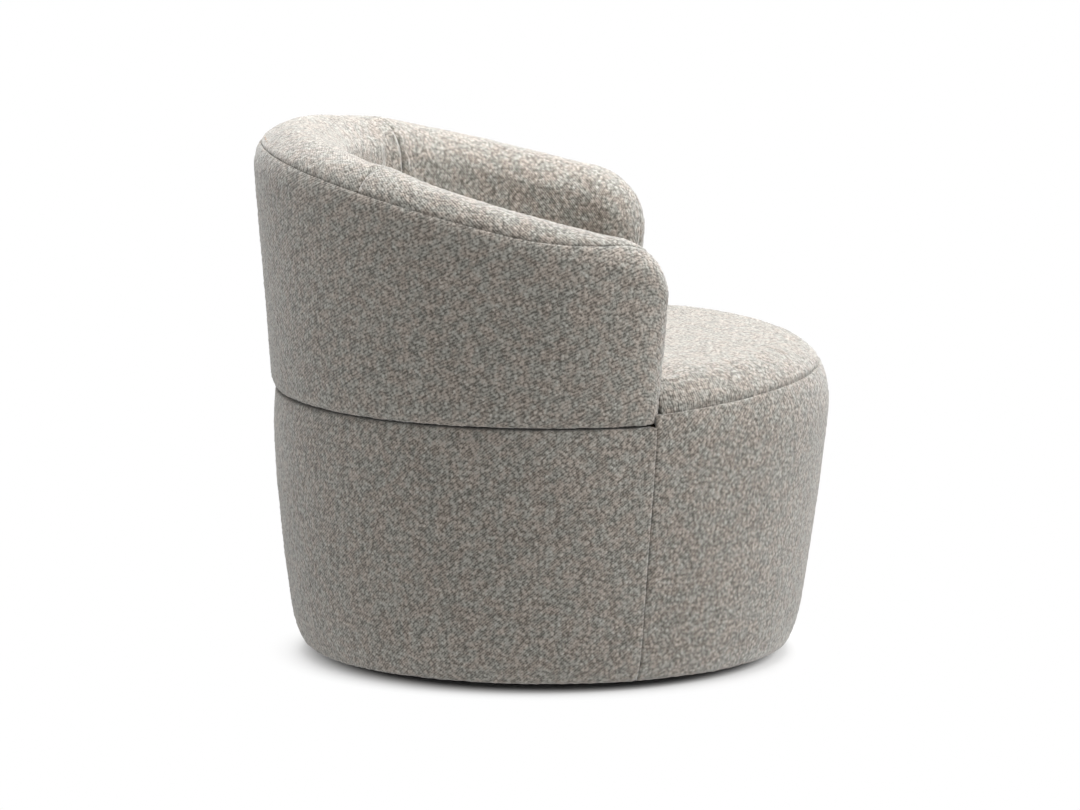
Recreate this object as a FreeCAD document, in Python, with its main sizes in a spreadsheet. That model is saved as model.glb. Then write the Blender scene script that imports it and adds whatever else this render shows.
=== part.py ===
import FreeCAD, Part
import math
import os
import Sketcher

# Swivel tub chair, upholstered all over. Millimetres, +Z up. The origin is on the swivel axis, at
# floor level. The chair faces -Y, and the sitter's left is +X. Angles round the chair start at the
# rear, +Y, and grow both ways towards the arm fronts.

doc = FreeCAD.newDocument("tub_chair")

# Driving dimensions, each written once, by the piece that they belong to.
SIZES = {
    # drum: the round base that the seat sits in
    "floor_gap": 12,
    "drum_radius": 377,
    "widest_height": 342,
    "barrel_inset": 38,
    "barrel_power": 1.4,
    "heel_height": 60,
    "heel_depth": 13,
    "front_overhang": 8,
    "shoulder_width": 35,
    "shoulder_top": 417,
    "seat_crown": 15,
    "ledge_height": 363.8,
    "side_seam_setback": 23,
    "side_seam_height": 379,
    "front_seam_height": 397,
    # shell: the back and arms in one sweep
    "shell_proud": 4,
    "shell_flare": 22,
    "shell_hem": 8,
    "shell_hem_height": 26,
    "arm_thickness": 90,
    "back_extra": 30,
    "lumbar_loss": 0.8,
    "crest_base": 638,
    "crest_angle": 14.84,
    "arm_front": 150,
    "arm_corner": 90,
    "arm_roll": 38,
    "arm_lean": 4.4,
    "lean_reach": 124,
    "top_seam_drop": 30,
    "panel_seam_angle": 47,
    # covers and foam
    "cover_thickness": 2.2,
    "soft_gap": 0.3,
    "seam_gap": 0.3,
    "seat_clearance": 0.9,
    "outer_padding": 11.8,
    "inner_padding": 36,
    "top_padding": 32,
    "end_padding": 22,
    "turn_under": 41,
    # floor base and turntable
    "pad_setback": 4,
    "pad_thickness": 4,
    "plate_radius": 240,
    "plate_thickness": 6,
    "swivel_plate_radius": 150,
    "swivel_plate_thickness": 2.5,
    "race_radius": 105,
    "race_width": 22,
    "race_land": 1.6,
    "ball_radius": 4.5,
    "ball_count": 12,
    "ball_clearance": 0.1,
    "cage_thickness": 1.6,
    "cage_rim": 2.5,
    "swivel_height": 16.4,
    "pin_radius": 10,
    "pin_clearance": 0.08,
    "pin_head_radius": 17,
    "pin_head_thickness": 4,
    "swivel_screw_circle": 130,
    "swivel_screw_radius": 3,
    "swivel_screw_head": 5.5,
    "swivel_screw_head_height": 2.4,
    "lower_screw_length": 7,
    "upper_screw_length": 14,
    # seat frame
    "ply_thickness": 18,
    "plinth_thickness": 12,
    "plinth_setback": 10,
    "plinth_width": 46,
    "deck_setback": 59,
    "deck_hole_radius": 30,
    "ring_setback": 19.3,
    "ring_width": 117.7,
    "rib_width": 62,
    "rib_count": 8,
    "wrap_thickness": 3,
    "strap_width": 50,
    "strap_thickness": 1.8,
    "strap_spacing": 92,
    "strap_overlap": 24,
    "dust_cover_thickness": 0.8,
    "dust_cover_gap": 10,
    # back frame
    "skin_thickness": 3,
    "back_rib_spacing": 38,
    "rib_fit": 0.5,
    "glue_gap": 0.1,
    "panel_lift": 6,
    "bolt_radius": 4,
    "bolt_head_radius": 6.5,
    "bolt_head_height": 5.3,
    "bolt_spacing": 38,
    "nut_barrel_radius": 5,
    "nut_flange_radius": 10,
    "nut_flange_thickness": 1.5,
    "hole_clearance": 0.3,
}

sheet = doc.addObject("Spreadsheet::Sheet", "Sizes")
for row, (word, value) in enumerate(SIZES.items(), start=1):
    sheet.set("A%d" % row, word)
    sheet.set("B%d" % row, str(value))
    sheet.setAlias("B%d" % row, word)
doc.recompute()


def size(word):
    return float(sheet.get(word))


# Levels of the stack, each from the one below it.
pad_top = size("pad_thickness")
plate_top = pad_top + size("plate_thickness")
deck_under = plate_top + size("swivel_height")
deck_top = deck_under + size("ply_thickness")
cover = size("cover_thickness")
soft = size("soft_gap")
ring_top = size("ledge_height") - cover - soft
ring_under = ring_top - size("ply_thickness")
rail_under = size("ledge_height") + cover + 3 * soft
rail_top = rail_under + size("ply_thickness")
plinth_under = deck_under - size("plinth_thickness")
strap_under = ring_top + soft / 3
seat_under = strap_under + 2 * size("strap_thickness") + soft

# Radii of the hidden frame, each set in from the drum's outside.
deck_radius = size("drum_radius") - size("deck_setback")
plinth_outer = deck_radius - size("plinth_setback")
ring_outer = size("drum_radius") - size("ring_setback")
ring_inner = ring_outer - size("ring_width")
bolt_circle = (size("drum_radius") + size("shell_proud") - size("arm_thickness") / 2
               + (size("inner_padding") - size("outer_padding")) / 2)

# The seat and the shell stand on a centre that is a little in front of the swivel axis.
shell_centre = -size("front_overhang")

# Cutting blocks reach this far, well past the chair on every side.
beyond = 3 * size("drum_radius")

finished = []


def finish(label, shape):
    """A sub-part whose form needs lofts worked out in code."""
    piece = doc.addObject("Part::Feature", label)
    piece.Label = label
    piece.Shape = shape
    finished.append(piece)
    return piece


# Bodies made from sketches. A body's sketches lie on its own origin planes.
def new_body(label):
    body = doc.addObject("PartDesign::Body", label)
    body.Label = label
    finished.append(body)
    return body


def new_sketch(body, plane, name):
    sketch = body.newObject("Sketcher::SketchObject", name)
    for feature in body.Origin.OriginFeatures:
        if feature.Role == plane:
            sketch.AttachmentSupport = [(feature, "")]
    sketch.MapMode = "FlatFace"
    return sketch


def draw_outline(sketch, points):
    """A closed outline of straight lines. Each point is a pair of expressions in the sheet's words."""
    count = len(points)
    start = [FreeCAD.Vector(10 * i + 5, 7 * (i % 3) + 5, 0) for i in range(count)]
    for i in range(count):
        sketch.addGeometry(Part.LineSegment(start[i], start[(i + 1) % count]), False)
    for i in range(count):
        after = (i + 1) % count
        sketch.addConstraint(Sketcher.Constraint("Coincident", i, 2, after, 1))
    for i, (across, up) in enumerate(points):
        for kind, text, guess in (("DistanceX", across, start[i].x), ("DistanceY", up, start[i].y)):
            index = sketch.addConstraint(Sketcher.Constraint(kind, -1, 1, i, 1, guess))
            sketch.setExpression("Constraints[%d]" % index, text)


def draw_circle(sketch, radius, across="0", up="0"):
    rough = Part.Circle(FreeCAD.Vector(5, 5, 0), FreeCAD.Vector(0, 0, 1), 3)
    index = sketch.addGeometry(rough, False)
    for kind, text, guess in (("DistanceX", across, 5), ("DistanceY", up, 5)):
        where = sketch.addConstraint(Sketcher.Constraint(kind, -1, 1, index, 3, guess))
        sketch.setExpression("Constraints[%d]" % where, text)
    where = sketch.addConstraint(Sketcher.Constraint("Radius", index, 3))
    sketch.setExpression("Constraints[%d]" % where, radius)


def revolve(label, points):
    """A turned piece: its outline right of the axis, in radius and height."""
    body = new_body(label)
    sketch = new_sketch(body, "XZ_Plane", label + "_profile")
    draw_outline(sketch, points)
    turn = body.newObject("PartDesign::Revolution", label + "_turned")
    turn.Profile = sketch
    turn.ReferenceAxis = (sketch, ["V_Axis"])
    turn.Angle = 360
    sketch.Visibility = False
    doc.recompute()
    return body


def drill(body, name, radius, circle, level, depth, count, start_angle=0.0):
    """Holes on a bolt circle, cut downwards from a level and repeated round the axis."""
    before = body.Shape.Volume
    sketch = new_sketch(body, "XY_Plane", name + "_sketch")
    sketch.setExpression("AttachmentOffset.Base.z", level)
    turn = math.radians(start_angle)
    across = "%s * %.9f" % (circle, math.sin(turn))
    up = "%s * %.9f" % (circle, math.cos(turn))
    draw_circle(sketch, radius, across, up)
    pocket = body.newObject("PartDesign::Pocket", name)
    pocket.Profile = sketch
    pocket.Type = 0
    pocket.setExpression("Length", depth)
    doc.recompute()
    if count > 1:
        pattern = body.newObject("PartDesign::PolarPattern", name + "_round")
        pattern.Originals = [pocket]
        for feature in body.Origin.OriginFeatures:
            if feature.Role == "Z_Axis":
                pattern.Axis = (feature, [""])
        pattern.Angle = 360
        pattern.Occurrences = count
        body.Tip = pattern
        doc.recompute()
    if body.Shape.Volume >= before:
        raise RuntimeError(name + " cut nothing")


# The same levels and radii as expressions, for use in sketches.
PAD_TOP = "Sizes.pad_thickness"
PLATE_TOP = "(" + PAD_TOP + " + Sizes.plate_thickness)"
DECK_UNDER = "(" + PLATE_TOP + " + Sizes.swivel_height)"
DECK_TOP = "(" + DECK_UNDER + " + Sizes.ply_thickness)"
RING_TOP = "(Sizes.ledge_height - Sizes.cover_thickness - Sizes.soft_gap)"
RING_UNDER = "(" + RING_TOP + " - Sizes.ply_thickness)"
PLINTH_UNDER = "(" + DECK_UNDER + " - Sizes.plinth_thickness)"
RACE_MIDDLE = "(" + PLATE_TOP + " + Sizes.swivel_height / 2)"
RACE_IN = "(Sizes.race_radius - Sizes.race_width / 2)"
RACE_OUT = "(Sizes.race_radius + Sizes.race_width / 2)"
DECK_RADIUS = "(Sizes.drum_radius - Sizes.deck_setback)"
PLINTH_OUTER = "(" + DECK_RADIUS + " - Sizes.plinth_setback)"
PLINTH_INNER = "(" + PLINTH_OUTER + " - Sizes.plinth_width)"
RING_OUTER = "(Sizes.drum_radius - Sizes.ring_setback)"
RING_INNER = "(" + RING_OUTER + " - Sizes.ring_width)"
BOLT_CIRCLE = ("(Sizes.drum_radius + Sizes.shell_proud - Sizes.arm_thickness / 2"
               " + (Sizes.inner_padding - Sizes.outer_padding) / 2)")


# Floor base: what stays still when the chair turns.
def make_floor_pad():
    rim = "(Sizes.plate_radius - Sizes.pad_setback)"
    revolve("floor_pad", [("0", "0"), (rim, "0"), (rim, PAD_TOP), ("0", PAD_TOP)])


def make_base_plate():
    body = revolve(
        "base_plate",
        [("0", PAD_TOP), ("Sizes.plate_radius", PAD_TOP),
         ("Sizes.plate_radius", PLATE_TOP), ("0", PLATE_TOP)],
    )
    drill(body, "base_plate_holes", "Sizes.swivel_screw_radius", "Sizes.swivel_screw_circle", PLATE_TOP,
          "Sizes.lower_screw_length - Sizes.swivel_plate_thickness", 4)


def race_groove(body, name):
    """The ball groove, turned out of a race round the axis."""
    before = body.Shape.Volume
    sketch = new_sketch(body, "XZ_Plane", name + "_profile")
    draw_circle(sketch, "Sizes.ball_radius + Sizes.ball_clearance", "Sizes.race_radius", RACE_MIDDLE)
    groove = body.newObject("PartDesign::Groove", name)
    groove.Profile = sketch
    groove.ReferenceAxis = (sketch, ["V_Axis"])
    groove.Angle = 360
    doc.recompute()
    if body.Shape.Volume >= before:
        raise RuntimeError(name + " cut nothing")


def make_turntable():
    rim = "Sizes.swivel_plate_radius"
    low_plate_top = "(" + PLATE_TOP + " + Sizes.swivel_plate_thickness)"
    low_race_top = "(" + RACE_MIDDLE + " - " + "Sizes.race_land" + ")"
    lower = revolve(
        "turntable_lower",
        [("0", PLATE_TOP), (rim, PLATE_TOP), (rim, low_plate_top),
         (RACE_OUT, low_plate_top), (RACE_OUT, low_race_top),
         (RACE_IN, low_race_top), (RACE_IN, low_plate_top), ("0", low_plate_top)],
    )
    race_groove(lower, "turntable_lower_groove")
    drill(lower, "turntable_lower_holes", "Sizes.swivel_screw_radius", "Sizes.swivel_screw_circle",
          low_plate_top, "Sizes.swivel_plate_thickness", 4)
    high_plate_under = "(" + DECK_UNDER + " - Sizes.swivel_plate_thickness)"
    high_race_under = "(" + RACE_MIDDLE + " + " + "Sizes.race_land" + ")"
    bore = "(Sizes.pin_radius + Sizes.pin_clearance)"
    upper = revolve(
        "turntable_upper",
        [(bore, high_plate_under), (RACE_IN, high_plate_under), (RACE_IN, high_race_under),
         (RACE_OUT, high_race_under), (RACE_OUT, high_plate_under),
         (rim, high_plate_under), (rim, DECK_UNDER), (bore, DECK_UNDER)],
    )
    race_groove(upper, "turntable_upper_groove")
    drill(upper, "turntable_upper_holes", "Sizes.swivel_screw_radius", "Sizes.swivel_screw_circle",
          DECK_UNDER, "Sizes.swivel_plate_thickness", 4, 45)
    head_under = "(" + DECK_UNDER + " + Sizes.pin_clearance)"
    head_top = "(" + head_under + " + Sizes.pin_head_thickness)"
    revolve(
        "pivot_pin",
        [("0", low_plate_top), ("Sizes.pin_radius", low_plate_top), ("Sizes.pin_radius", head_under),
         ("Sizes.pin_head_radius", head_under), ("Sizes.pin_head_radius", head_top), ("0", head_top)],
    )


def ball_spots():
    count = int(size("ball_count"))
    race = size("race_radius")
    middle = plate_top + size("swivel_height") / 2
    for i in range(count):
        turn = 2 * math.pi * i / count
        yield FreeCAD.Vector(race * math.sin(turn), race * math.cos(turn), middle)


def make_balls():
    balls = [Part.makeSphere(size("ball_radius"), spot) for spot in ball_spots()]
    finish("bearing_balls", Part.makeCompound(balls))
    middle = plate_top + size("swivel_height") / 2
    half = size("cage_thickness") / 2
    edge = size("ball_radius") + size("cage_rim")
    base = FreeCAD.Vector(0, 0, middle - half)
    ring = Part.makeCylinder(size("race_radius") + edge, 2 * half, base)
    ring = ring.cut(Part.makeCylinder(size("race_radius") - edge, 2 * half, base))
    pocket_radius = size("ball_radius") + size("ball_clearance")
    for spot in ball_spots():
        foot = FreeCAD.Vector(spot.x, spot.y, middle - 2 * half)
        ring = ring.cut(Part.makeCylinder(pocket_radius, 4 * half, foot))
    finish("ball_cage", ring)


def screw(spot, down, length, shank, head, head_height):
    """A pan head screw. The head's seat is at the spot, and the shank runs down or up from there."""
    way = FreeCAD.Vector(0, 0, -1 if down else 1)
    body = Part.makeCylinder(shank, length, spot, way)
    return body.fuse(Part.makeCylinder(head, head_height, spot, way * -1)).removeSplitter()


def round_spots(radius, count, level, start_angle=0.0):
    for i in range(count):
        turn = math.radians(start_angle) + 2 * math.pi * i / count
        yield FreeCAD.Vector(radius * math.sin(turn), radius * math.cos(turn), level)


def make_swivel_screws():
    shank = size("swivel_screw_radius")
    head = size("swivel_screw_head")
    tall = size("swivel_screw_head_height")
    circle = size("swivel_screw_circle")
    low_seat = plate_top + size("swivel_plate_thickness")
    low = [screw(p, True, size("lower_screw_length"), shank, head, tall)
           for p in round_spots(circle, 4, low_seat)]
    finish("lower_screws", Part.makeCompound(low))
    high_seat = deck_under - size("swivel_plate_thickness")
    high = [screw(p, False, size("upper_screw_length"), shank, head, tall)
            for p in round_spots(circle, 4, high_seat, 45)]
    finish("upper_screws", Part.makeCompound(high))


# The drum's outline: a circle at each height, whose radius and centre follow one formula.
def drum_radius_at(height, inset):
    widest = size("widest_height")
    foot = size("floor_gap")
    radius = size("drum_radius") - inset
    if height < widest:
        radius -= size("barrel_inset") * ((widest - height) / (widest - foot)) ** size("barrel_power")
    heel = size("heel_height")
    if height < foot + heel:
        part = (foot + heel - height) / heel
        radius -= size("heel_depth") * (1 - math.sqrt(max(0.0, 1 - part * part)))
    if height > widest:
        part = (height - widest) / (size("shoulder_top") - widest)
        radius -= size("shoulder_width") * (1 - math.sqrt(max(0.0, 1 - part * part)))
    return radius


def drum_centre_at(height):
    widest = size("widest_height")
    foot = size("floor_gap")
    part = min(1.0, max(0.0, (height - foot) / (widest - foot)))
    return -size("front_overhang") * part * part


def ring_wire(radius, centre, height):
    """A circle in four quarter arcs, which start at the rear."""
    edges = []
    for quarter in range(4):
        marks = [math.radians(90 * quarter + step) for step in (0, 45, 90)]
        points = [FreeCAD.Vector(radius * math.sin(a), centre + radius * math.cos(a), height)
                  for a in marks]
        edges.append(Part.Arc(*points).toShape())
    return Part.Wire(edges)


def drum_solid(bottom, top, inset):
    """The drum between two heights, smaller all round by the inset."""
    foot = size("floor_gap")
    heel = size("heel_height")
    widest = size("widest_height")
    steps = 6
    levels = [foot + heel * (1 - math.cos(math.pi / 2 * i / steps)) for i in range(steps + 1)]
    levels += [foot + heel + (widest - foot - heel) * (i + 1) / steps for i in range(steps)]
    apart = 1.5
    levels = [bottom] + [level for level in levels if bottom + apart < level < top - apart] + [top]
    wires = [ring_wire(drum_radius_at(level, inset), drum_centre_at(level), level) for level in levels]
    return Part.makeLoft(wires, True, False)


def seat_top_solid(bottom, inset):
    """The drum's shoulder and the seat's crown: a turned solid about the drum's upper centre."""
    widest = size("widest_height")
    shoulder_top = size("shoulder_top") - inset
    centre = drum_centre_at(widest)
    outer = drum_radius_at(bottom, inset)
    flat = size("drum_radius") - size("shoulder_width")
    share = math.sin(math.radians(45))
    part = (bottom - widest) / (size("shoulder_top") - widest)
    middle_turn = (math.asin(max(0.0, min(1.0, part))) + math.pi / 2) / 2
    middle = FreeCAD.Vector(flat + (size("shoulder_width") - inset) * math.cos(middle_turn), 0,
                            widest + (shoulder_top - widest) * math.sin(middle_turn))
    edge = FreeCAD.Vector(outer, 0, bottom)
    rim = FreeCAD.Vector(flat, 0, shoulder_top)
    crown = FreeCAD.Vector(0, 0, shoulder_top + size("seat_crown"))
    between = FreeCAD.Vector(flat * share, 0, shoulder_top + size("seat_crown") * (1 - share * share))
    axis_foot = FreeCAD.Vector(0, 0, bottom)
    edges = [
        Part.makeLine(axis_foot, edge),
        Part.Arc(edge, middle, rim).toShape(),
        Part.Arc(rim, between, crown).toShape(),
        Part.makeLine(crown, axis_foot),
    ]
    turned = Part.Face(Part.Wire(edges)).revolve(FreeCAD.Vector(), FreeCAD.Vector(0, 0, 1), 360)
    turned.translate(FreeCAD.Vector(0, centre, 0))
    return turned.toNurbs()


def sector(half_angle, rear):
    """A tall wedge: round the rear up to the half angle, or what is left at the front."""
    gap = math.degrees(size("seam_gap") / 2 / size("drum_radius"))
    spread = 2 * half_angle if rear else 360 - 2 * half_angle
    spread -= 2 * gap
    start = 90 - half_angle + gap if rear else 90 + half_angle + gap
    foot = FreeCAD.Vector(0, 0, -beyond)
    wedge = Part.makeCylinder(beyond, 2 * beyond, foot, FreeCAD.Vector(0, 0, 1), spread)
    wedge.rotate(FreeCAD.Vector(), FreeCAD.Vector(0, 0, 1), start)
    wedge.translate(FreeCAD.Vector(0, shell_centre, 0))
    return wedge


def slice_between(bottom, top):
    """A flat block between two heights, wider than the chair."""
    return Part.makeBox(2 * beyond, 2 * beyond, top - bottom, FreeCAD.Vector(-beyond, -beyond, bottom))


def under_plane(level, slope):
    """Everything under a plane that has this level at the swivel axis and climbs towards the rear."""
    corners = [(-beyond, -beyond), (beyond, -beyond),
               (beyond, level + slope * beyond), (-beyond, level - slope * beyond), (-beyond, -beyond)]
    outline = Part.makePolygon([FreeCAD.Vector(-beyond, forward, height) for forward, height in corners])
    return Part.Face(outline).extrude(FreeCAD.Vector(2 * beyond, 0, 0))


# The shell's outline: an upright section at each angle round the chair.
crest_slope = math.tan(math.radians(size("crest_angle")))
shell_under = size("ledge_height") + soft


def share_of_back(angle):
    """1 at the rear, and 0 straight ahead."""
    return (1 + math.cos(angle)) / 2


def shell_radii(angle):
    """Outer and inner radius, at the bottom and at the crest."""
    back = share_of_back(angle)
    outer_low = size("drum_radius") + size("shell_proud")
    outer_high = outer_low + size("shell_flare") * back
    inner_low = outer_low - size("arm_thickness") - size("lumbar_loss") * size("back_extra") * back ** 2
    inner_high = outer_high - size("arm_thickness") - size("back_extra") * back ** 2
    return outer_low, outer_high, inner_low, inner_high


def crest_radius(angle):
    outer_low, outer_high, inner_low, inner_high = shell_radii(angle)
    return (outer_high + inner_high) / 2


def find_arm_end():
    """The angle of the flat end, from how far the arm's rolled front reaches forward."""
    angle = math.pi / 2
    for closer in range(12):
        outer_low, outer_high, inner_low, inner_high = shell_radii(angle)
        roll_radius = outer_high - size("arm_roll")
        reach = size("arm_front") + shell_centre - size("arm_roll")
        angle = math.acos(-reach / roll_radius) + size("arm_roll") / roll_radius
    return angle


arm_end = find_arm_end()
arm_radius = crest_radius(arm_end)
end_forward = shell_centre + arm_radius * math.cos(arm_end)
corner_forward = end_forward + size("arm_corner")
corner_height = (size("crest_base") + crest_slope * corner_forward
                 - size("arm_corner") / math.cos(math.radians(size("crest_angle"))))


def crest_height(forward, inset):
    """The crest: a slanted plane, rounded down at the arm's front. forward is the place along Y."""
    corner = size("arm_corner")
    turn_off = corner_forward - corner * math.sin(math.radians(size("crest_angle")))
    if forward < turn_off:
        reach = corner - inset
        across = min(reach, corner_forward - forward)
        return corner_height + math.sqrt(max(0.0, reach ** 2 - across ** 2))
    return size("crest_base") + crest_slope * forward - inset / math.cos(math.radians(size("crest_angle")))


# Where sections stand on the arm's rolled end and behind it, as shares of the roll's radius.
ON_THE_ROLL = (0, 0.05, 0.15, 0.32, 0.58, 0.9)
BEHIND_THE_ROLL = (1.35, 1.9, 2.7)
SECTIONS_TO_THE_REAR = 8


def shell_stations(inset):
    """Distances from the arm's end: close together on its roll, then wide apart round the back."""
    roll = size("arm_roll")
    near = [inset + (roll - inset) * share for share in ON_THE_ROLL]
    near += [roll * share for share in BEHIND_THE_ROLL]
    step = (arm_end * arm_radius - near[-1]) / SECTIONS_TO_THE_REAR
    return near + [near[-1] + step * (i + 1) for i in range(SECTIONS_TO_THE_REAR)]


def lean_at(distance):
    part = min(1.0, distance / size("lean_reach"))
    return math.radians(size("arm_lean")) * (1 - part) ** 2


def place(angle, radius, height, lean):
    """A point of the section at this angle. The section leans about the arm's widest height."""
    along = (height - corner_height) * math.sin(lean)
    height = corner_height + (height - corner_height) * math.cos(lean)
    side = math.copysign(1, angle)
    across = math.sin(angle) * radius + side * math.cos(angle) * along
    forward = math.cos(angle) * radius - abs(math.sin(angle)) * along
    return FreeCAD.Vector(across, shell_centre + forward, height)


def shell_section(distance, side, inset, lift, outward=0.0):
    """One closed section wire: bottom, hem arc, outer line, two crest arcs, inner line."""
    angle = side * (arm_end - distance / arm_radius)
    outer_low, outer_high, inner_low, inner_high = shell_radii(angle)
    roll = size("arm_roll") - inset
    gone = max(0.0, roll - (distance - inset))
    pinch = inset + roll - math.sqrt(max(0.0, roll ** 2 - gone ** 2))
    outer_low += outward - pinch
    outer_high += outward - pinch
    inner_low += pinch
    inner_high += pinch
    half = (outer_high - inner_high) / 2
    middle = (outer_high + inner_high) / 2
    forward = shell_centre + crest_radius(angle) * math.cos(angle)
    top = crest_height(forward, inset)
    bottom = shell_under + lift
    lean = lean_at(distance)
    hem = size("shell_hem")
    hem_top = shell_under + size("shell_hem_height")

    def spot(radius, height):
        return place(angle, radius, height, lean)

    diagonal = half * math.sin(math.radians(45))
    hem_turn = math.radians(52)
    hem_mid_r = outer_low - hem * (1 - math.sin(hem_turn))
    hem_mid_z = bottom + (hem_top - bottom) * (1 - math.cos(hem_turn))
    inner_foot = spot(inner_low, bottom)
    hem_foot = spot(outer_low - hem, bottom)
    hem_end = spot(outer_low, hem_top)
    outer_end = spot(outer_high, top - half)
    crest = spot(middle, top)
    inner_end = spot(inner_high, top - half)
    edges = [
        Part.makeLine(inner_foot, hem_foot),
        Part.Arc(hem_foot, spot(hem_mid_r, hem_mid_z), hem_end).toShape(),
        Part.makeLine(hem_end, outer_end),
        Part.Arc(outer_end, spot(middle + diagonal, top - half + diagonal), crest).toShape(),
        Part.Arc(crest, spot(middle - diagonal, top - half + diagonal), inner_end).toShape(),
        Part.makeLine(inner_end, inner_foot),
    ]
    return Part.Wire(edges)


def shell_solid(inset, lift, outward=0.0):
    """The whole sweep of back and arms, smaller all round by the inset."""
    stations = shell_stations(inset)
    wires = [shell_section(s, 1, inset, lift, outward) for s in stations]
    wires += [shell_section(s, -1, inset, lift, outward) for s in reversed(stations[:-1])]
    return Part.makeLoft(wires, True, False)


# What the seat's and the drum's covers leave free for the shell and the thickness of its outside.
shell_room = shell_solid(-size("seat_clearance"), -size("seat_clearance") - soft, size("arm_thickness"))


# Seat body: plywood frame, wrap, foam and covers of the drum.
def make_plinth_and_deck():
    revolve(
        "plinth_ring",
        [(PLINTH_INNER, PLINTH_UNDER), (PLINTH_OUTER, PLINTH_UNDER),
         (PLINTH_OUTER, DECK_UNDER), (PLINTH_INNER, DECK_UNDER)],
    )
    deck = revolve(
        "bottom_deck",
        [("Sizes.deck_hole_radius", DECK_UNDER), (DECK_RADIUS, DECK_UNDER),
         (DECK_RADIUS, DECK_TOP), ("Sizes.deck_hole_radius", DECK_TOP)],
    )
    depth = "Sizes.upper_screw_length - Sizes.swivel_plate_thickness"
    drill(deck, "deck_screw_holes", "Sizes.swivel_screw_radius", "Sizes.swivel_screw_circle",
          DECK_UNDER + " + " + depth, depth, 4, 45)


def make_seat_ring():
    """The plywood ring under the ledge, which carries the seat straps and the shell."""
    body = new_body("seat_ring")
    sketch = new_sketch(body, "XY_Plane", "seat_ring_plan")
    sketch.setExpression("AttachmentOffset.Base.z", RING_UNDER)
    draw_circle(sketch, RING_OUTER, "0", "-Sizes.front_overhang")
    draw_circle(sketch, RING_INNER, "0", "-Sizes.front_overhang")
    pad = body.newObject("PartDesign::Pad", "seat_ring_pad")
    pad.Profile = sketch
    pad.setExpression("Length", "Sizes.ply_thickness")
    doc.recompute()
    before = body.Shape.Volume
    holes = new_sketch(body, "XY_Plane", "seat_ring_holes")
    holes.setExpression("AttachmentOffset.Base.z", RING_TOP)
    for turn in bolt_angles():
        across = BOLT_CIRCLE + " * %.9f" % math.sin(turn)
        forward = BOLT_CIRCLE + " * %.9f - Sizes.front_overhang" % math.cos(turn)
        draw_circle(holes, "Sizes.bolt_radius + Sizes.hole_clearance", across, forward)
    pocket = body.newObject("PartDesign::Pocket", "seat_ring_bores")
    pocket.Profile = holes
    pocket.setExpression("Length", "Sizes.ply_thickness")
    doc.recompute()
    if body.Shape.Volume >= before:
        raise RuntimeError("the seat ring's bores cut nothing")


def bolt_angles():
    """Bolts stand between the shell's ribs, in pairs each side of the rear."""
    step = math.radians(size("bolt_spacing"))
    for turn in (-2.5, -1.5, -0.5, 0.5, 1.5, 2.5):
        yield turn * step


def bolt_spots(height):
    for turn in bolt_angles():
        across = bolt_circle * math.sin(turn)
        forward = shell_centre + bolt_circle * math.cos(turn)
        yield FreeCAD.Vector(across, forward, height)


def wrap_radius_at(height):
    """The inside of the thin wrap: a leaning cone from the deck's lower edge to the seat ring's."""
    part = (height - deck_under) / (ring_under - deck_under)
    low = deck_radius + soft
    high = ring_outer + soft
    return low + (high - low) * part


def wrap_centre_at(height):
    return drum_centre_at(size("widest_height")) * (height - deck_under) / (ring_under - deck_under)


def wrap_cone(grow, bottom, top):
    wires = [ring_wire(wrap_radius_at(h) + grow, wrap_centre_at(h), h) for h in (bottom, top)]
    return Part.makeLoft(wires, True, True)


def make_base_ribs():
    """Upright ribs between deck and ring, each cut to the wrap's slope where it stands."""
    count = int(size("rib_count"))
    half = size("ply_thickness") / 2
    for i in range(count):
        turn = 2 * math.pi * (i + 0.5) / count
        edge = []
        for height in (deck_top, ring_under):
            centre = wrap_centre_at(height)
            reach = wrap_radius_at(height) - soft
            side = centre * math.sin(turn)
            limit = math.sqrt(reach ** 2 - (abs(side) + half) ** 2)
            edge.append((centre * math.cos(turn) + limit, height))
        (low, under), (high, over) = edge
        width = size("rib_width")
        corners = [(low, under), (high, over), (high - width, over), (low - width, under)]
        points = [FreeCAD.Vector(0, r, z) for r, z in corners]
        points.append(points[0])
        plate = Part.Face(Part.makePolygon(points)).extrude(FreeCAD.Vector(2 * half, 0, 0))
        plate.translate(FreeCAD.Vector(-half, 0, 0))
        plate.rotate(FreeCAD.Vector(), FreeCAD.Vector(0, 0, 1), -math.degrees(turn))
        finish("base_rib_%d" % (i + 1), plate)


def make_side_wrap():
    outer = wrap_cone(size("wrap_thickness"), deck_under, ring_top)
    finish("side_wrap", outer.cut(wrap_cone(0, deck_under, ring_top)))


def make_base_foam():
    """Foam round the wrap and plinth, out to just under the cover."""
    under = plinth_under
    whole = drum_solid(under, ring_top, cover + soft)
    hollow = wrap_cone(size("wrap_thickness") + soft, deck_under, ring_top)
    tall = size("plinth_thickness") + soft
    foot = Part.makeCylinder(plinth_outer + soft, tall, FreeCAD.Vector(0, 0, under))
    finish("base_foam", whole.cut(hollow).cut(foot))


def column(radius, centre, bottom, top):
    return Part.makeCylinder(radius, top - bottom, FreeCAD.Vector(0, centre, bottom))


# The drum's side seams start under the arms' rolled ends.
seam_angle = math.degrees(arm_end - size("side_seam_setback") / arm_radius)


def bolt_columns(bottom, top):
    """Room for the shell's bolts where they pass through a cover."""
    radius = size("bolt_radius") + size("hole_clearance")
    for spot in bolt_spots(bottom):
        yield Part.makeCylinder(radius, top - bottom, spot)


def under_seat_seam(extra):
    """Everything under the seam between seat and drum, which climbs from the arms to the front."""
    rise = size("front_seam_height") - size("side_seam_height")
    front = shell_centre - size("drum_radius")
    slope = rise / (front - end_forward)
    return under_plane(size("side_seam_height") - slope * end_forward + extra, slope)


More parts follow.
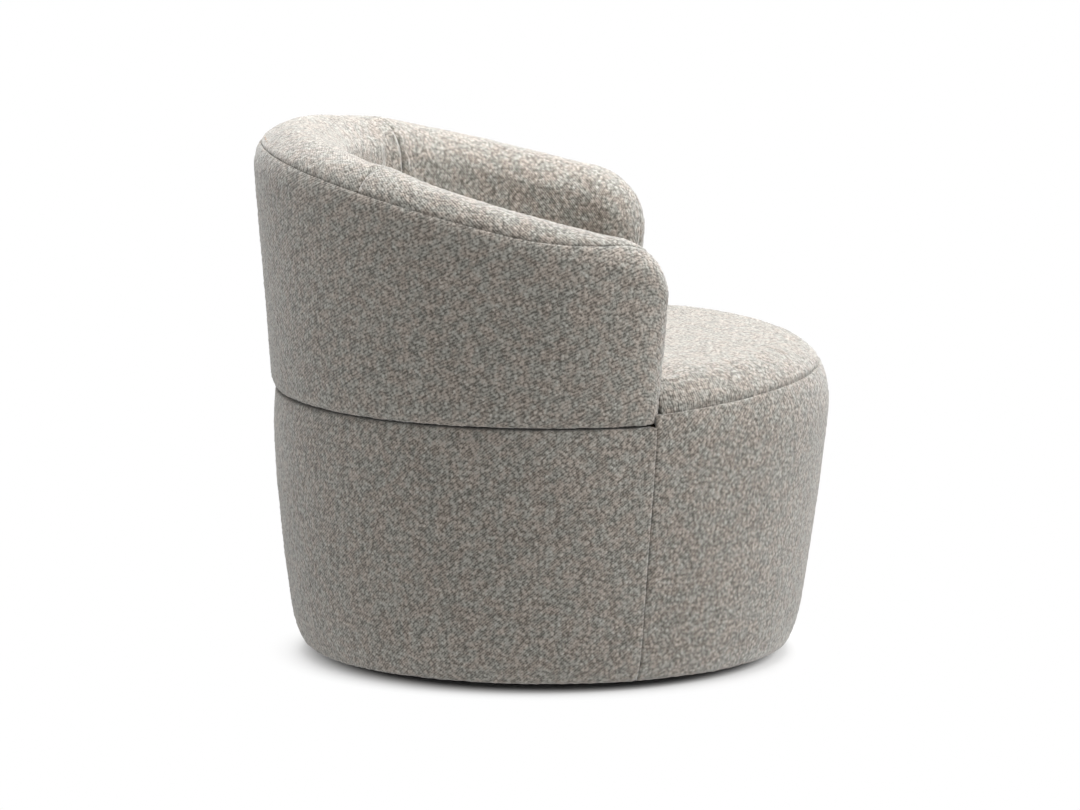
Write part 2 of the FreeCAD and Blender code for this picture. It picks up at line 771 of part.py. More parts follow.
def make_base_covers():
    foot = size("floor_gap")
    ledge = size("ledge_height")
    turned = size("drum_radius") - size("barrel_inset") - size("heel_depth") - size("turn_under")
    under_hole = column(turned, 0, foot - cover, foot + 2 * cover)
    ledge_inside = crest_radius(0) - size("arm_thickness") / 2
    ledge_hole = column(ledge_inside, shell_centre, ledge - 2 * cover, ledge + cover)

    whole = drum_solid(foot, ledge, 0)
    core = drum_solid(plinth_under - soft, ledge - cover, cover)
    rear = whole.cut(core).cut(under_hole).cut(ledge_hole)
    for bolt_room in bolt_columns(ledge - 2 * cover, ledge + cover):
        rear = rear.cut(bolt_room)
    finish("base_cover_rear", rear.common(sector(seam_angle, True)))

    widest = size("widest_height")
    body = drum_solid(foot, widest, 0).fuse(seat_top_solid(widest, 0))
    inside = drum_solid(plinth_under - soft, widest, cover).fuse(seat_top_solid(widest, cover))
    front = sector(seam_angle, False).common(under_seat_seam(-size("seam_gap"))).cut(shell_room)
    finish("base_cover_front", body.cut(inside).cut(under_hole).common(front))


def make_dust_cover():
    top = "(Sizes.floor_gap - Sizes.soft_gap / 3)"
    under = "(" + top + " - Sizes.dust_cover_thickness)"
    hole = "(Sizes.plate_radius + Sizes.dust_cover_gap)"
    revolve("dust_cover", [(hole, under), (PLINTH_OUTER, under), (PLINTH_OUTER, top), (hole, top)])


def make_straps():
    """Elastic straps across the ring: front to back below, side to side on top."""
    thick = size("strap_thickness")
    width = size("strap_width")
    reach = ring_inner + size("strap_overlap")
    for level, name in ((0, "seat_strap_lengthwise"), (1, "seat_strap_crosswise")):
        for i in range(4):
            offset = (i - 1.5) * size("strap_spacing")
            half = math.sqrt(reach ** 2 - (abs(offset) + width / 2) ** 2)
            height = strap_under + level * (thick + soft / 3)
            strap = doc.addObject("Part::Box", "%s_%d" % (name, i + 1))
            strap.Label = "%s_%d" % (name, i + 1)
            strap.setExpression("Height", "Sizes.strap_thickness")
            if level == 0:
                strap.setExpression("Length", "Sizes.strap_width")
                strap.Width = 2 * half
                corner = FreeCAD.Vector(offset - width / 2, shell_centre - half, height)
            else:
                strap.Length = 2 * half
                strap.setExpression("Width", "Sizes.strap_width")
                corner = FreeCAD.Vector(-half, shell_centre + offset - width / 2, height)
            strap.Placement = FreeCAD.Placement(corner, FreeCAD.Rotation())
            finished.append(strap)


def make_seat():
    """Seat foam with its crown and drawn-in edge, and its cover, both cut round the shell."""
    widest = size("widest_height")
    foam = seat_top_solid(widest, cover + soft).cut(slice_between(-beyond, seat_under))
    finish("seat_foam", foam.cut(shell_room))
    skin = seat_top_solid(widest, 0).cut(seat_top_solid(widest, cover))
    lower = under_seat_seam(0).fuse(slice_between(-beyond, size("ledge_height")))
    finish("seat_cover", skin.cut(lower).cut(shell_room))


# Shell: plywood frame, skins, foam and covers of the back and arms.
def frame_radii(angle):
    outer_low, outer_high, inner_low, inner_high = shell_radii(angle)
    out = size("outer_padding") + cover
    inside = size("inner_padding") + cover
    return outer_low - out, outer_high - out, inner_low + inside, inner_high + inside


def frame_top(forward):
    drop = (size("top_padding") + cover) / math.cos(math.radians(size("crest_angle")))
    return size("crest_base") + crest_slope * forward - drop


frame_end = arm_end - (size("end_padding") + cover) / arm_radius


def frame_section(angle, outer_cut, inner_cut, bottom, drop):
    """A four-sided section of the frame between its skins' faces, under the slanted crest."""
    outer_low, outer_high, inner_low, inner_high = frame_radii(angle)
    outer_low -= outer_cut
    outer_high -= outer_cut
    inner_low += inner_cut
    inner_high += inner_cut
    full = size("crest_base") + crest_slope * (shell_centre + crest_radius(angle) * math.cos(angle))

    def at(low, high, height):
        part = (height - shell_under) / (full - shell_under)
        return low + (high - low) * part

    def spot(radius, height):
        return FreeCAD.Vector(math.sin(angle) * radius, shell_centre + math.cos(angle) * radius, height)

    def top_spot(low, high):
        radius = high
        for closer in range(6):
            height = frame_top(shell_centre + radius * math.cos(angle)) - drop
            radius = at(low, high, height)
        return spot(radius, height)

    foot_in = spot(at(inner_low, inner_high, bottom), bottom)
    foot_out = spot(at(outer_low, outer_high, bottom), bottom)
    return [foot_in, foot_out, top_spot(outer_low, outer_high), top_spot(inner_low, inner_high)]


FRAME_STEPS = 16


def frame_angles(end_angle):
    """Angles from arm to arm at which the frame's sections stand."""
    return [end_angle * (1 - 2 * i / FRAME_STEPS) for i in range(FRAME_STEPS + 1)]


def frame_solid(outer_cut, inner_cut, bottom, drop, end_angle, base_drop=None):
    """A sweep of frame sections from arm to arm. With base_drop, its underside is slanted too."""
    wires = []
    for angle in frame_angles(end_angle):
        corners = frame_section(angle, outer_cut, inner_cut, bottom, drop)
        if base_drop is not None:
            lower = frame_section(angle, outer_cut, inner_cut, bottom, base_drop)
            corners = [lower[3], lower[2], corners[2], corners[3]]
        corners.append(corners[0])
        wires.append(Part.makePolygon(corners))
    return Part.makeLoft(wires, True, False)


def skin_solid(inner, thickness, end_gap):
    """The frame's inner or outer skin: a thin sweep that ends this far behind the plane at frame_end."""
    outer_low, outer_high, inner_low, inner_high = frame_radii(frame_end)
    nearest = min(inner_low, inner_high) if inner else min(outer_low, outer_high) - thickness
    wires = []
    for angle in frame_angles(frame_end - math.asin(end_gap / nearest)):
        face = frame_section(angle, 0, 0, rail_under, 0)
        hidden = frame_section(angle, thickness, thickness, rail_under, 0)
        corners = [face[0], hidden[0], hidden[3], face[3]]
        if not inner:
            corners = [hidden[1], face[1], face[2], hidden[2]]
        wires.append(Part.makePolygon(corners + corners[:1]))
    return Part.makeLoft(wires, True, False)


def standing_block(side, angle, near, far):
    """A tall flat block across the sweep, between two distances past the upright plane at this angle."""
    low = near if side > 0 else -far
    block = Part.makeBox(far - near, beyond, 2 * beyond, FreeCAD.Vector(low, 0, -beyond))
    block.rotate(FreeCAD.Vector(), FreeCAD.Vector(0, 0, 1), -side * math.degrees(angle))
    block.translate(FreeCAD.Vector(0, shell_centre, 0))
    return block


def make_back_frame():
    skin = size("skin_thickness")
    ply = size("ply_thickness")
    fit = skin + size("rib_fit")
    glue = size("glue_gap")
    rail_drop = ply / math.cos(math.radians(size("crest_angle")))
    panel_rooms = [standing_block(side, frame_end, -ply - glue, ply) for side in (-1, 1)]

    def behind_panels(shape):
        """What the arm front panels leave of a sweep that runs to the ends of the arms."""
        for room in panel_rooms:
            shape = shape.cut(room)
        return shape

    rail = frame_solid(skin, skin, rail_under, 0, frame_end).common(slice_between(rail_under, rail_top))
    for bolt_room in bolt_columns(rail_under - ply, rail_top + ply):
        rail = rail.cut(bolt_room)
    for spot in bolt_spots(rail_top - ply / 2):
        rail = rail.cut(Part.makeCylinder(size("nut_barrel_radius"), ply, spot))
    finish("back_bottom_rail", behind_panels(rail))

    top_rail = frame_solid(skin, skin, rail_under, 0, frame_end, rail_drop)
    finish("back_top_rail", behind_panels(top_rail))

    between = frame_solid(fit, fit, rail_top, rail_drop + glue, frame_end)
    step = math.radians(size("back_rib_spacing"))
    for i in range(5):
        turn = (i - 2) * step
        plate = standing_block(1, turn, -ply / 2, ply / 2)
        finish("back_rib_%d" % (i + 1), between.common(plate))

    whole = frame_solid(0, 0, rail_under, 0, frame_end)
    above_hem = slice_between(rail_under + size("panel_lift"), beyond)
    for side, name in ((-1, "right"), (1, "left")):
        plate = standing_block(side, frame_end, -ply, ply)
        finish("arm_front_panel_" + name, whole.common(plate).common(above_hem))

    finish("back_outer_skin", skin_solid(False, skin - glue, ply + glue))
    finish("back_inner_skin", skin_solid(True, skin - glue, ply + glue))


def make_back_foam():
    whole = shell_solid(cover + soft, cover + soft)
    room = frame_solid(-soft, -soft, shell_under - cover, -soft, frame_end + soft / arm_radius)
    finish("back_foam", whole.cut(room))


def make_back_covers():
    """One outer cover under the top seam, and three inner ones that come over the crest to it."""
    skin = shell_solid(0, 0).cut(shell_solid(cover, cover))
    for bolt_room in bolt_columns(shell_under - cover, shell_under + 2 * cover):
        skin = skin.cut(bolt_room)
    gap = size("seam_gap")
    split = crest_radius(math.pi / 2) - size("shell_proud")
    seam_level = size("crest_base") - size("top_seam_drop")

    def outside(radius):
        return slice_between(-beyond, beyond).cut(column(radius, shell_centre, -beyond, beyond))

    finish("back_cover_outer", skin.common(outside(split).common(under_plane(seam_level, crest_slope))))
    outer_room = outside(split - gap).common(under_plane(seam_level + gap, crest_slope))
    inner = skin.cut(outer_room)
    finish("back_cover_centre", inner.common(sector(size("panel_seam_angle"), True)))
    rest = inner.common(sector(size("panel_seam_angle"), False))
    for side, name in ((-1, "right"), (1, "left")):
        corner = FreeCAD.Vector(0 if side > 0 else -beyond, -beyond, -beyond)
        half_space = Part.makeBox(beyond, 2 * beyond, 2 * beyond, corner)
        finish("back_cover_" + name, rest.common(half_space))


def make_shell_bolts():
    shank = size("bolt_radius")
    length = rail_top - ring_under - size("nut_flange_thickness")
    head = size("bolt_head_radius")
    tall = size("bolt_head_height")
    bolts = [screw(spot, False, length, shank, head, tall) for spot in bolt_spots(ring_under)]
    finish("shell_bolts", Part.makeCompound(bolts))
    half_rail = size("ply_thickness") / 2
    bore = shank + size("hole_clearance") / 3
    nuts = []
    for foot in bolt_spots(rail_top - half_rail):
        nut = Part.makeCylinder(size("nut_barrel_radius"), half_rail, foot)
        seat = foot + FreeCAD.Vector(0, 0, half_rail)
        nut = nut.fuse(Part.makeCylinder(size("nut_flange_radius"), size("nut_flange_thickness"), seat))
        nuts.append(nut.cut(Part.makeCylinder(bore, 2 * size("ply_thickness"), foot)))
    finish("shell_nuts", Part.makeCompound(nuts))


make_floor_pad()
make_base_plate()
make_turntable()
make_balls()
make_swivel_screws()
make_plinth_and_deck()
make_seat_ring()
make_base_ribs()
make_side_wrap()
make_base_foam()
make_base_covers()
make_dust_cover()
make_straps()
make_seat()
make_back_frame()
make_back_foam()
make_back_covers()
make_shell_bolts()

doc.recompute()
for thing in doc.Objects:
    if "Invalid" in thing.State or "Error" in thing.State:
        raise RuntimeError(thing.Label + " failed to build")
for piece in finished:
    if piece.Shape.isNull() or not piece.Shape.isValid() or piece.Shape.Volume <= 0:
        raise RuntimeError(piece.Label + " has no valid shape")

os.makedirs("parts", exist_ok=True)
for piece in finished:
    piece.Shape.exportStep("parts/" + piece.Label + ".step")
    print(piece.Label, len(piece.Shape.Solids), "solids", round(piece.Shape.Volume / 1000), "cm3")
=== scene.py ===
# %% [markdown]
# A swivel tub chair, upholstered all over in a warm grey looped wool cloth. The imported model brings
# the timber, the turntable and plain solids for the soft parts. This file makes the soft parts as they
# look: each cover is its own sewn panel over foam, and every piece gets its finish from nodes.
# Everything is in metres, with the chair facing -Y and the swivel axis at the origin.

# %% Load the fixed frame
import math

import bpy
import mathutils
import numpy as np
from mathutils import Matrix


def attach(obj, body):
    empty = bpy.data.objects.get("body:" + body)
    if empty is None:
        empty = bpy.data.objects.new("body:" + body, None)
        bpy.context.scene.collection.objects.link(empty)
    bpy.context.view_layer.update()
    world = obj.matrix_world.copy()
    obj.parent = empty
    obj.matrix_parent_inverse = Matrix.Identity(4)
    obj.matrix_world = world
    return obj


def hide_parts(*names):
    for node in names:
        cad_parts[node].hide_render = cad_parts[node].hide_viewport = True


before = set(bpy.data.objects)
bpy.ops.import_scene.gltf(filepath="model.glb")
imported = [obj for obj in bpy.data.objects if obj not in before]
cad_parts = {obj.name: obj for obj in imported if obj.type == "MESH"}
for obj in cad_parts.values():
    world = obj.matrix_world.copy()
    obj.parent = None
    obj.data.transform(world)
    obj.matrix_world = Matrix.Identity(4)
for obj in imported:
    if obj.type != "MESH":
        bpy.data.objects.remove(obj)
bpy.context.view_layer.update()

# %% [markdown]
# The chair is a drum with a shell standing on it. Its covers could be traced from the solids, or
# sculpted, but both leave an uneven grid. Here the outline is a few sizes and three formulas, the same
# that the solids were made from. So the panels' edges meet exactly, and each grid can be as fine as
# the cloth. This cell holds the drum's sizes: a barrel, a rolled heel and the seat's shoulder.

# %% Sizes of the drum
FLOOR_GAP = 0.012
DRUM_RADIUS = 0.377
WIDEST_HEIGHT = 0.342
BARREL_INSET = 0.038
BARREL_POWER = 1.4
HEEL_HEIGHT = 0.060
HEEL_DEPTH = 0.013
TURN_UNDER = 0.041
SHOULDER_WIDTH = 0.035
SHOULDER_TOP = 0.417
LEDGE_HEIGHT = 0.3638
SEAM_HEIGHT_AT_ARMS = 0.379
SEAM_HEIGHT_AT_FRONT = 0.397
CENTRE = -0.008


# %% The drum's outline
def drum_radius(height):
    """Radius of the drum at each height: barrel, rolled heel and the seat's shoulder."""
    height = np.asarray(height, float)
    below = np.clip((WIDEST_HEIGHT - height) / (WIDEST_HEIGHT - FLOOR_GAP), 0, 1)
    heel = np.clip((FLOOR_GAP + HEEL_HEIGHT - height) / HEEL_HEIGHT, 0, 1)
    above = np.clip((height - WIDEST_HEIGHT) / (SHOULDER_TOP - WIDEST_HEIGHT), 0, 1)
    radius = DRUM_RADIUS - BARREL_INSET * below ** BARREL_POWER
    radius -= HEEL_DEPTH * (1 - np.sqrt(1 - heel ** 2))
    return radius - SHOULDER_WIDTH * (1 - np.sqrt(1 - above ** 2))


def drum_middle(height):
    """Where the drum's centre is along Y. It moves to the front a little as the drum rises."""
    part = np.clip((np.asarray(height, float) - FLOOR_GAP) / (WIDEST_HEIGHT - FLOOR_GAP), 0, 1)
    return CENTRE * part ** 2


print("drum radius", round(float(drum_radius(FLOOR_GAP)), 4), "m at the foot,", DRUM_RADIUS, "m at most")

# %% [markdown]
# The shell is one foamed wall round the back and sides. Its crest slopes down from the back to the
# arms, it is thickest at the lumbar, and its ends are rolled and pinched to a narrow flat front. It
# could be a loft between drawn sections, but every panel would then share the loft's grid. Formulas of
# the angle from the rear give the wall at any place, so each panel can run along its own seams.

# %% Sizes of the shell
SHELL_FOOT = 0.3641
SHELL_PROUD = 0.004
SHELL_FLARE = 0.022
HEM_DEPTH = 0.008
HEM_HEIGHT = 0.026
ARM_THICKNESS = 0.090
BACK_EXTRA = 0.030
LUMBAR_SHARE = 0.8
CREST_BASE = 0.638
CREST_TILT = math.radians(14.84)
CREST_SLOPE = math.tan(CREST_TILT)
ARM_CORNER = 0.090
ARM_ROLL = 0.038
ARM_FRONT = 0.150
ARM_LEAN = math.radians(4.4)
LEAN_REACH = 0.124
TOP_SEAM_DROP = 0.030
SEAM_RUN_OUT = 0.210
PANEL_SEAM_ANGLE = math.radians(47)
SEAM_GAP = 0.0003


# %% The shell's plan
def shell_radii(angle):
    """Outer and inner radius at the foot and at the crest. The angle starts at the rear."""
    back = (1 + np.cos(angle)) / 2
    outer_low = DRUM_RADIUS + SHELL_PROUD + 0 * back
    outer_high = outer_low + SHELL_FLARE * back
    inner_low = outer_low - ARM_THICKNESS - LUMBAR_SHARE * BACK_EXTRA * back ** 2
    inner_high = outer_high - ARM_THICKNESS - BACK_EXTRA * back ** 2
    return outer_low, outer_high, inner_low, inner_high


def crest_radius(angle):
    """The radius of the crest's line, in the middle of the wall."""
    outer_low, outer_high, inner_low, inner_high = shell_radii(angle)
    return (outer_high + inner_high) / 2


def find_arm_end():
    """The angle of the arm's flat end, from how far its rolled front reaches past the centre."""
    angle = math.pi / 2
    reach = ARM_FRONT + CENTRE - ARM_ROLL
    for closer in range(12):
        roll_radius = shell_radii(angle)[1] - ARM_ROLL
        angle = math.acos(-reach / roll_radius) + ARM_ROLL / roll_radius
    return angle


ARM_END = find_arm_end()
ARM_RADIUS = float(crest_radius(ARM_END))
print("arm ends at", round(math.degrees(ARM_END), 2), "degrees from the rear")

# %% The slope of the crest
END_Y = CENTRE + ARM_RADIUS * math.cos(ARM_END)
CORNER_Y = END_Y + ARM_CORNER
CORNER_HEIGHT = CREST_BASE + CREST_SLOPE * CORNER_Y - ARM_CORNER / math.cos(CREST_TILT)


def crest_height(y):
    """A slanted line from the back to the arms, rounded down at the arm's front."""
    slanted = CREST_BASE + CREST_SLOPE * y
    across = np.clip(CORNER_Y - y, 0, ARM_CORNER)
    rounded = CORNER_HEIGHT + np.sqrt(ARM_CORNER ** 2 - across ** 2)
    return np.where(y < CORNER_Y - ARM_CORNER * math.sin(CREST_TILT), rounded, slanted)


print("crest height at the back", round(float(crest_height(CENTRE + crest_radius(0.0))), 3), "m")


# %% Helpers for the shell's section
def end_pinch(distance):
    """How far each side of the wall has drawn in, at a distance from the arm's rolled end."""
    short = np.clip(ARM_ROLL - distance, 0, ARM_ROLL)
    return ARM_ROLL - np.sqrt(np.clip(ARM_ROLL ** 2 - short ** 2, 0, None))


def hem_arc_length():
    """The length of the rounded hem at the shell's foot."""
    steps = np.linspace(0, math.pi / 2, 60)
    return float(np.hypot(np.diff(HEM_DEPTH * np.cos(steps)), np.diff(HEM_HEIGHT * np.sin(steps))).sum())


def lean_forward(side, angle, distance, radius, height):
    """Towards the arm's end the upright section leans forward about its widest height."""
    lean = ARM_LEAN * (1 - np.clip(distance / LEAN_REACH, 0, 1)) ** 2
    along = (height - CORNER_HEIGHT) * np.sin(lean)
    x = side * (np.sin(angle) * radius + np.cos(angle) * along)
    y = CENTRE + np.cos(angle) * radius - np.sin(angle) * along
    height = CORNER_HEIGHT + (height - CORNER_HEIGHT) * np.cos(lean)
    return np.stack([x, y, height], -1)


print("hem runs", round(hem_arc_length() * 1000, 1), "mm round its edge")


# %% A point of the shell's skin
def shell_point(side, distance, flat, over):
    """A point of the shell from the distance to the arm's end, the share of the flat end that is
    reached (1 past it), and the length over the crest: outwards above 0, inwards below."""
    angle = ARM_END - distance / ARM_RADIUS
    outer_low, outer_high, inner_low, inner_high = shell_radii(angle)
    pinch = end_pinch(distance)
    half = (outer_high - inner_high) / 2 - pinch
    middle = (outer_high + inner_high) / 2
    shoulder = crest_height(CENTRE + middle * np.cos(angle)) - half
    reach = half * flat
    outer_high = middle + reach
    inner_high = middle - reach
    outer_low = middle + (outer_low - pinch - middle) * flat
    inner_low = middle + (inner_low + pinch - middle) * flat

    # Over the rounded crest.
    quarter = reach * math.pi / 2
    turn = np.clip(over / np.maximum(reach, 1e-6), -math.pi / 2, math.pi / 2)
    radius = middle + reach * np.sin(turn)
    height = shoulder + reach * np.cos(turn)

    # Down the outside, round the hem, and in under the foot.
    hem_top = SHELL_FOOT + HEM_HEIGHT
    outside = np.hypot(shoulder - hem_top, outer_high - outer_low)
    down = np.clip((over - quarter) / outside, 0, 1)
    radius = np.where(over > quarter, outer_high + (outer_low - outer_high) * down, radius)
    height = np.where(over > quarter, shoulder + (hem_top - shoulder) * down, height)
    hem_length = hem_arc_length()
    past = over - quarter - outside
    turned = np.clip(past / hem_length, 0, 1) * math.pi / 2
    radius = np.where(past > 0, outer_low - HEM_DEPTH * (1 - np.cos(turned)), radius)
    height = np.where(past > 0, hem_top - HEM_HEIGHT * np.sin(turned), height)
    radius = radius - np.clip(past - hem_length, 0, None)

    # Down the inside to the foot.
    inside = np.hypot(shoulder - SHELL_FOOT, inner_high - inner_low)
    down = np.clip((-over - quarter) / inside, 0, 1)
    radius = np.where(-over > quarter, inner_high + (inner_low - inner_high) * down, radius)
    height = np.where(-over > quarter, shoulder + (SHELL_FOOT - shoulder) * down, height)
    return lean_forward(side, angle, distance, radius, height)


print("arm's front at the crest:", np.round(shell_point(1, 0.0, 1.0, 0.0), 3).tolist())


# %% Lengths over the shell
def section_lengths(distance, flat):
    """How far the section runs from the crest: to the inner foot, and to the end of the hem."""
    angle = ARM_END - distance / ARM_RADIUS
    outer_low, outer_high, inner_low, inner_high = shell_radii(angle)
    half = (outer_high - inner_high) / 2 - end_pinch(distance)
    shoulder = crest_height(CENTRE + (outer_high + inner_high) / 2 * np.cos(angle)) - half
    quarter = half * flat * math.pi / 2
    inside = np.hypot(shoulder - SHELL_FOOT, (inner_high - inner_low) * flat)
    outside = np.hypot(shoulder - SHELL_FOOT - HEM_HEIGHT, (outer_high - outer_low) * flat)
    return quarter + inside, quarter + outside + hem_arc_length()


def seam_over(distance, flat):
    """How far outwards of the crest the top seam runs. It closes on the crest at the arm's front."""
    angle = ARM_END - distance / ARM_RADIUS
    outer_low, outer_high, inner_low, inner_high = shell_radii(angle)
    half = (outer_high - inner_high) / 2
    full = half * np.arccos(1 - TOP_SEAM_DROP / half)
    part = np.clip(distance / SEAM_RUN_OUT, 0, 1)
    return full * (1 - (1 - part) ** 2) * flat


back_lengths = section_lengths(ARM_END * ARM_RADIUS, 1.0)
print("over the back, metres inside and outside:", [round(float(length), 3) for length in back_lengths])

# %% [markdown]
# Looped wool cloth is never smooth: small knots of yarn stand a millimetre off a coarse twill, and
# break up the chair's outline against a white wall. Bump in the material would leave that outline
# smooth, so the knots are in the mesh. A cell noise gives the knots and a soft noise gives fuzz, slack
# and pull. Both are worked out from a point's place alone, so they are the same on every run.

# %% Noise on points
CLOTH_PITCH = 0.0032
KNOT_CELL = 0.0058
KNOT_SHARPNESS = 3.2
KNOT_SEED = 5
BEYOND_CELLS = 9.0


def scramble(cells, seed):
    """A repeatable number from 0 to 1 for each cell of a grid. The large odd numbers only scatter."""
    mixed = cells[..., 0] * 73856093 ^ cells[..., 1] * 19349663 ^ cells[..., 2] * 83492791 ^ seed * 2654435
    mixed = (mixed ^ (mixed >> 13)) * 1274126177 & 0x7FFFFFFF
    mixed = (mixed ^ (mixed >> 15)) * 1103515245 & 0x7FFFFFFF
    return (mixed ^ (mixed >> 12)) % 100003 / 100003.0


def soft_noise(points, cell, seed):
    """Smooth noise from -1 to 1 whose hills are about one cell wide."""
    scaled = points / cell
    base = np.floor(scaled).astype(np.int64)
    part = scaled - base
    part = part * part * (3 - 2 * part)
    total = 0
    for corner in np.ndindex(2, 2, 2):
        weight = np.prod(np.where(corner, part, 1 - part), -1)
        total = total + weight * scramble(base + np.array(corner), seed)
    return 2 * total - 1


def knot_noise(points, cell, seed):
    """Round knots, one to a cell, from 0 between them to 1 on top."""
    scaled = points / cell
    base = np.floor(scaled).astype(np.int64)
    nearest = np.full(points.shape[:-1], BEYOND_CELLS)
    for corner in np.ndindex(3, 3, 3):
        cells = base + np.array(corner) - 1
        spot = np.stack([scramble(cells, seed + axis) for axis in range(3)], -1)
        nearest = np.minimum(nearest, ((cells + spot - scaled) ** 2).sum(-1))
    return np.exp(-KNOT_SHARPNESS * nearest)


sample_line = np.linspace(0, 0.1, 200)[:, None] * np.array([1.0, 0.5, 0.3])
print("knots on a sample line reach", round(float(knot_noise(sample_line, KNOT_CELL, KNOT_SEED).max()), 2))

# %% Height of the cloth
KNOT_HEIGHT = 0.0011
KNOT_LEVEL = 0.35
FUZZ_HEIGHT = 0.45 * KNOT_HEIGHT
FUZZ_CELL = 0.0041
FUZZ_SEED = 23
SLACK_HEIGHT = 0.0006
SLACK_CELL = 0.034
SLACK_SEED = 37


def knots(points):
    """How far the loops and slubs of the yarn, and the cloth's slack, stand off the surface."""
    height = KNOT_HEIGHT * (knot_noise(points, KNOT_CELL, KNOT_SEED) - KNOT_LEVEL)
    height += FUZZ_HEIGHT * soft_noise(points, FUZZ_CELL, FUZZ_SEED)
    return height + SLACK_HEIGHT * soft_noise(points, SLACK_CELL, SLACK_SEED)


print("cloth stands up to", round(float(knots(sample_line).max()) * 1000, 2), "mm off the foam")

# %% [markdown]
# Under a tight cover the foam presses out between the seams. Noise could fake that, but it wouldn't
# know where the seams hold. So each panel is first a coarse closed pillow, held along its sewn edges
# and its back, and the cloth solver presses it out for twenty frames. Only the push along the surface
# is kept, capped at a few millimetres, and added to the fine panel. The coarse pillow takes seconds,
# where a simulation of every knot would take an hour.

# %% Pillow for the cloth solver
PILLOW_PITCH = 0.013
PILLOW_DEPTH = 0.030
PILLOW_FRAMES = 20
PILLOW_CLOTH = {
    "quality": 5,
    "mass": 0.3,
    "tension_stiffness": 12,
    "compression_stiffness": 12,
    "shear_stiffness": 6,
    "bending_stiffness": 0.6,
    "use_pressure": True,
    "uniform_pressure_force": 4.0,
    "vertex_group_mass": "sewn",
}


def grid_faces(rows, cols, start=0, flip=False):
    """The quads of a grid whose points are numbered row by row."""
    index = start + np.arange(rows * cols).reshape(rows, cols)
    quads = np.stack([index[:-1, :-1], index[:-1, 1:], index[1:, 1:], index[1:, :-1]], -1).reshape(-1, 4)
    return quads[:, ::-1] if flip else quads


def rim_of(index):
    """The indices round a grid's border, in order."""
    return np.concatenate([index[0, :-1], index[:-1, -1], index[-1, :0:-1], index[:0:-1, 0]])


def new_pillow(places, faces, held):
    """A closed cloth object, without gravity, whose held points can't move."""
    mesh = bpy.data.meshes.new("pillow")
    mesh.from_pydata(places.tolist(), [], faces.tolist())
    pillow = bpy.data.objects.new("pillow", mesh)
    bpy.context.scene.collection.objects.link(pillow)
    pillow.vertex_groups.new(name="sewn").add(held, 1.0, "REPLACE")
    cloth = pillow.modifiers.new("cloth", "CLOTH")
    for setting, value in PILLOW_CLOTH.items():
        setattr(cloth.settings, setting, value)
    cloth.settings.effector_weights.gravity = 0
    cloth.collision_settings.use_collision = False
    cloth.point_cache.frame_start = 1
    cloth.point_cache.frame_end = PILLOW_FRAMES
    return pillow


print("pillow cells", PILLOW_PITCH * 1000, "mm wide, pressed out for", PILLOW_FRAMES, "frames")


# %% Press the foam out
def press_out(points, normals, cap):
    """The foam's push on a coarse grid, in metres along its normals."""
    rows, cols = points.shape[:2]
    count = rows * cols
    places = np.concatenate([points.reshape(-1, 3), (points - normals * PILLOW_DEPTH).reshape(-1, 3)])
    rim = rim_of(np.arange(count).reshape(rows, cols))
    wall = np.stack([rim, np.roll(rim, -1), np.roll(rim, -1) + count, rim + count], -1)[:, ::-1]
    faces = np.concatenate([grid_faces(rows, cols), grid_faces(rows, cols, count, True), wall])
    pillow = new_pillow(places, faces, rim.tolist() + list(range(count, 2 * count)))
    for number in range(1, PILLOW_FRAMES + 1):
        bpy.context.scene.frame_set(number)
    settled = pillow.evaluated_get(bpy.context.evaluated_depsgraph_get())
    moved = np.zeros(len(settled.data.vertices) * 3)
    settled.data.vertices.foreach_get("co", moved)
    push = ((moved.reshape(-1, 3)[:count].reshape(rows, cols, 3) - points) * normals).sum(-1)
    mesh = pillow.data
    bpy.data.objects.remove(pillow)
    bpy.data.meshes.remove(mesh)
    bpy.context.scene.frame_set(1)
    return cap * np.tanh(push / cap)


# %% Helpers for grids
NORMAL_BLURS = 2
SPREAD_BLURS = 6


def neighbour_sum(grid):
    """The sum of each point's four neighbours in a grid, with the border repeated outside it."""
    margins = ((1, 1), (1, 1)) + ((0, 0),) * (grid.ndim - 2)
    padded = np.pad(grid, margins, mode="edge")
    return padded[:-2, 1:-1] + padded[2:, 1:-1] + padded[1:-1, :-2] + padded[1:-1, 2:]


def outward_normals(points):
    """Unit normals of a grid, slightly blurred. Seen from where they point, columns run to the left."""
    normals = np.cross(np.gradient(points, axis=1), np.gradient(points, axis=0))
    normals = normals / np.maximum(np.linalg.norm(normals, axis=-1, keepdims=True), 1e-12)
    for blur in range(NORMAL_BLURS):
        normals = (neighbour_sum(normals) + 2 * normals) / 6
        normals = normals / np.maximum(np.linalg.norm(normals, axis=-1, keepdims=True), 1e-12)
    return normals


def border_distances(points):
    """How far each point of a grid is from its first and last column and row."""
    across = np.linalg.norm(np.diff(points, axis=1), axis=-1)
    down = np.linalg.norm(np.diff(points, axis=0), axis=-1)
    from_left = np.pad(np.cumsum(across, 1), ((0, 0), (1, 0)))
    from_top = np.pad(np.cumsum(down, 0), ((1, 0), (0, 0)))
    return {
        "left": from_left, "right": from_left[:, -1:] - from_left,
        "top": from_top, "bottom": from_top[-1:] - from_top,
    }


def spread(coarse, rows, cols):
    """A coarse grid of numbers, spread smoothly on a finer one."""
    from_rows = np.linspace(0, 1, coarse.shape[0])
    from_cols = np.linspace(0, 1, coarse.shape[1])
    wide = np.stack([np.interp(np.linspace(0, 1, cols), from_cols, line) for line in coarse])
    tall = np.stack([np.interp(np.linspace(0, 1, rows), from_rows, line) for line in wide.T], -1)
    for blur in range(SPREAD_BLURS):
        tall = (neighbour_sum(tall) + tall) / 5
    return tall


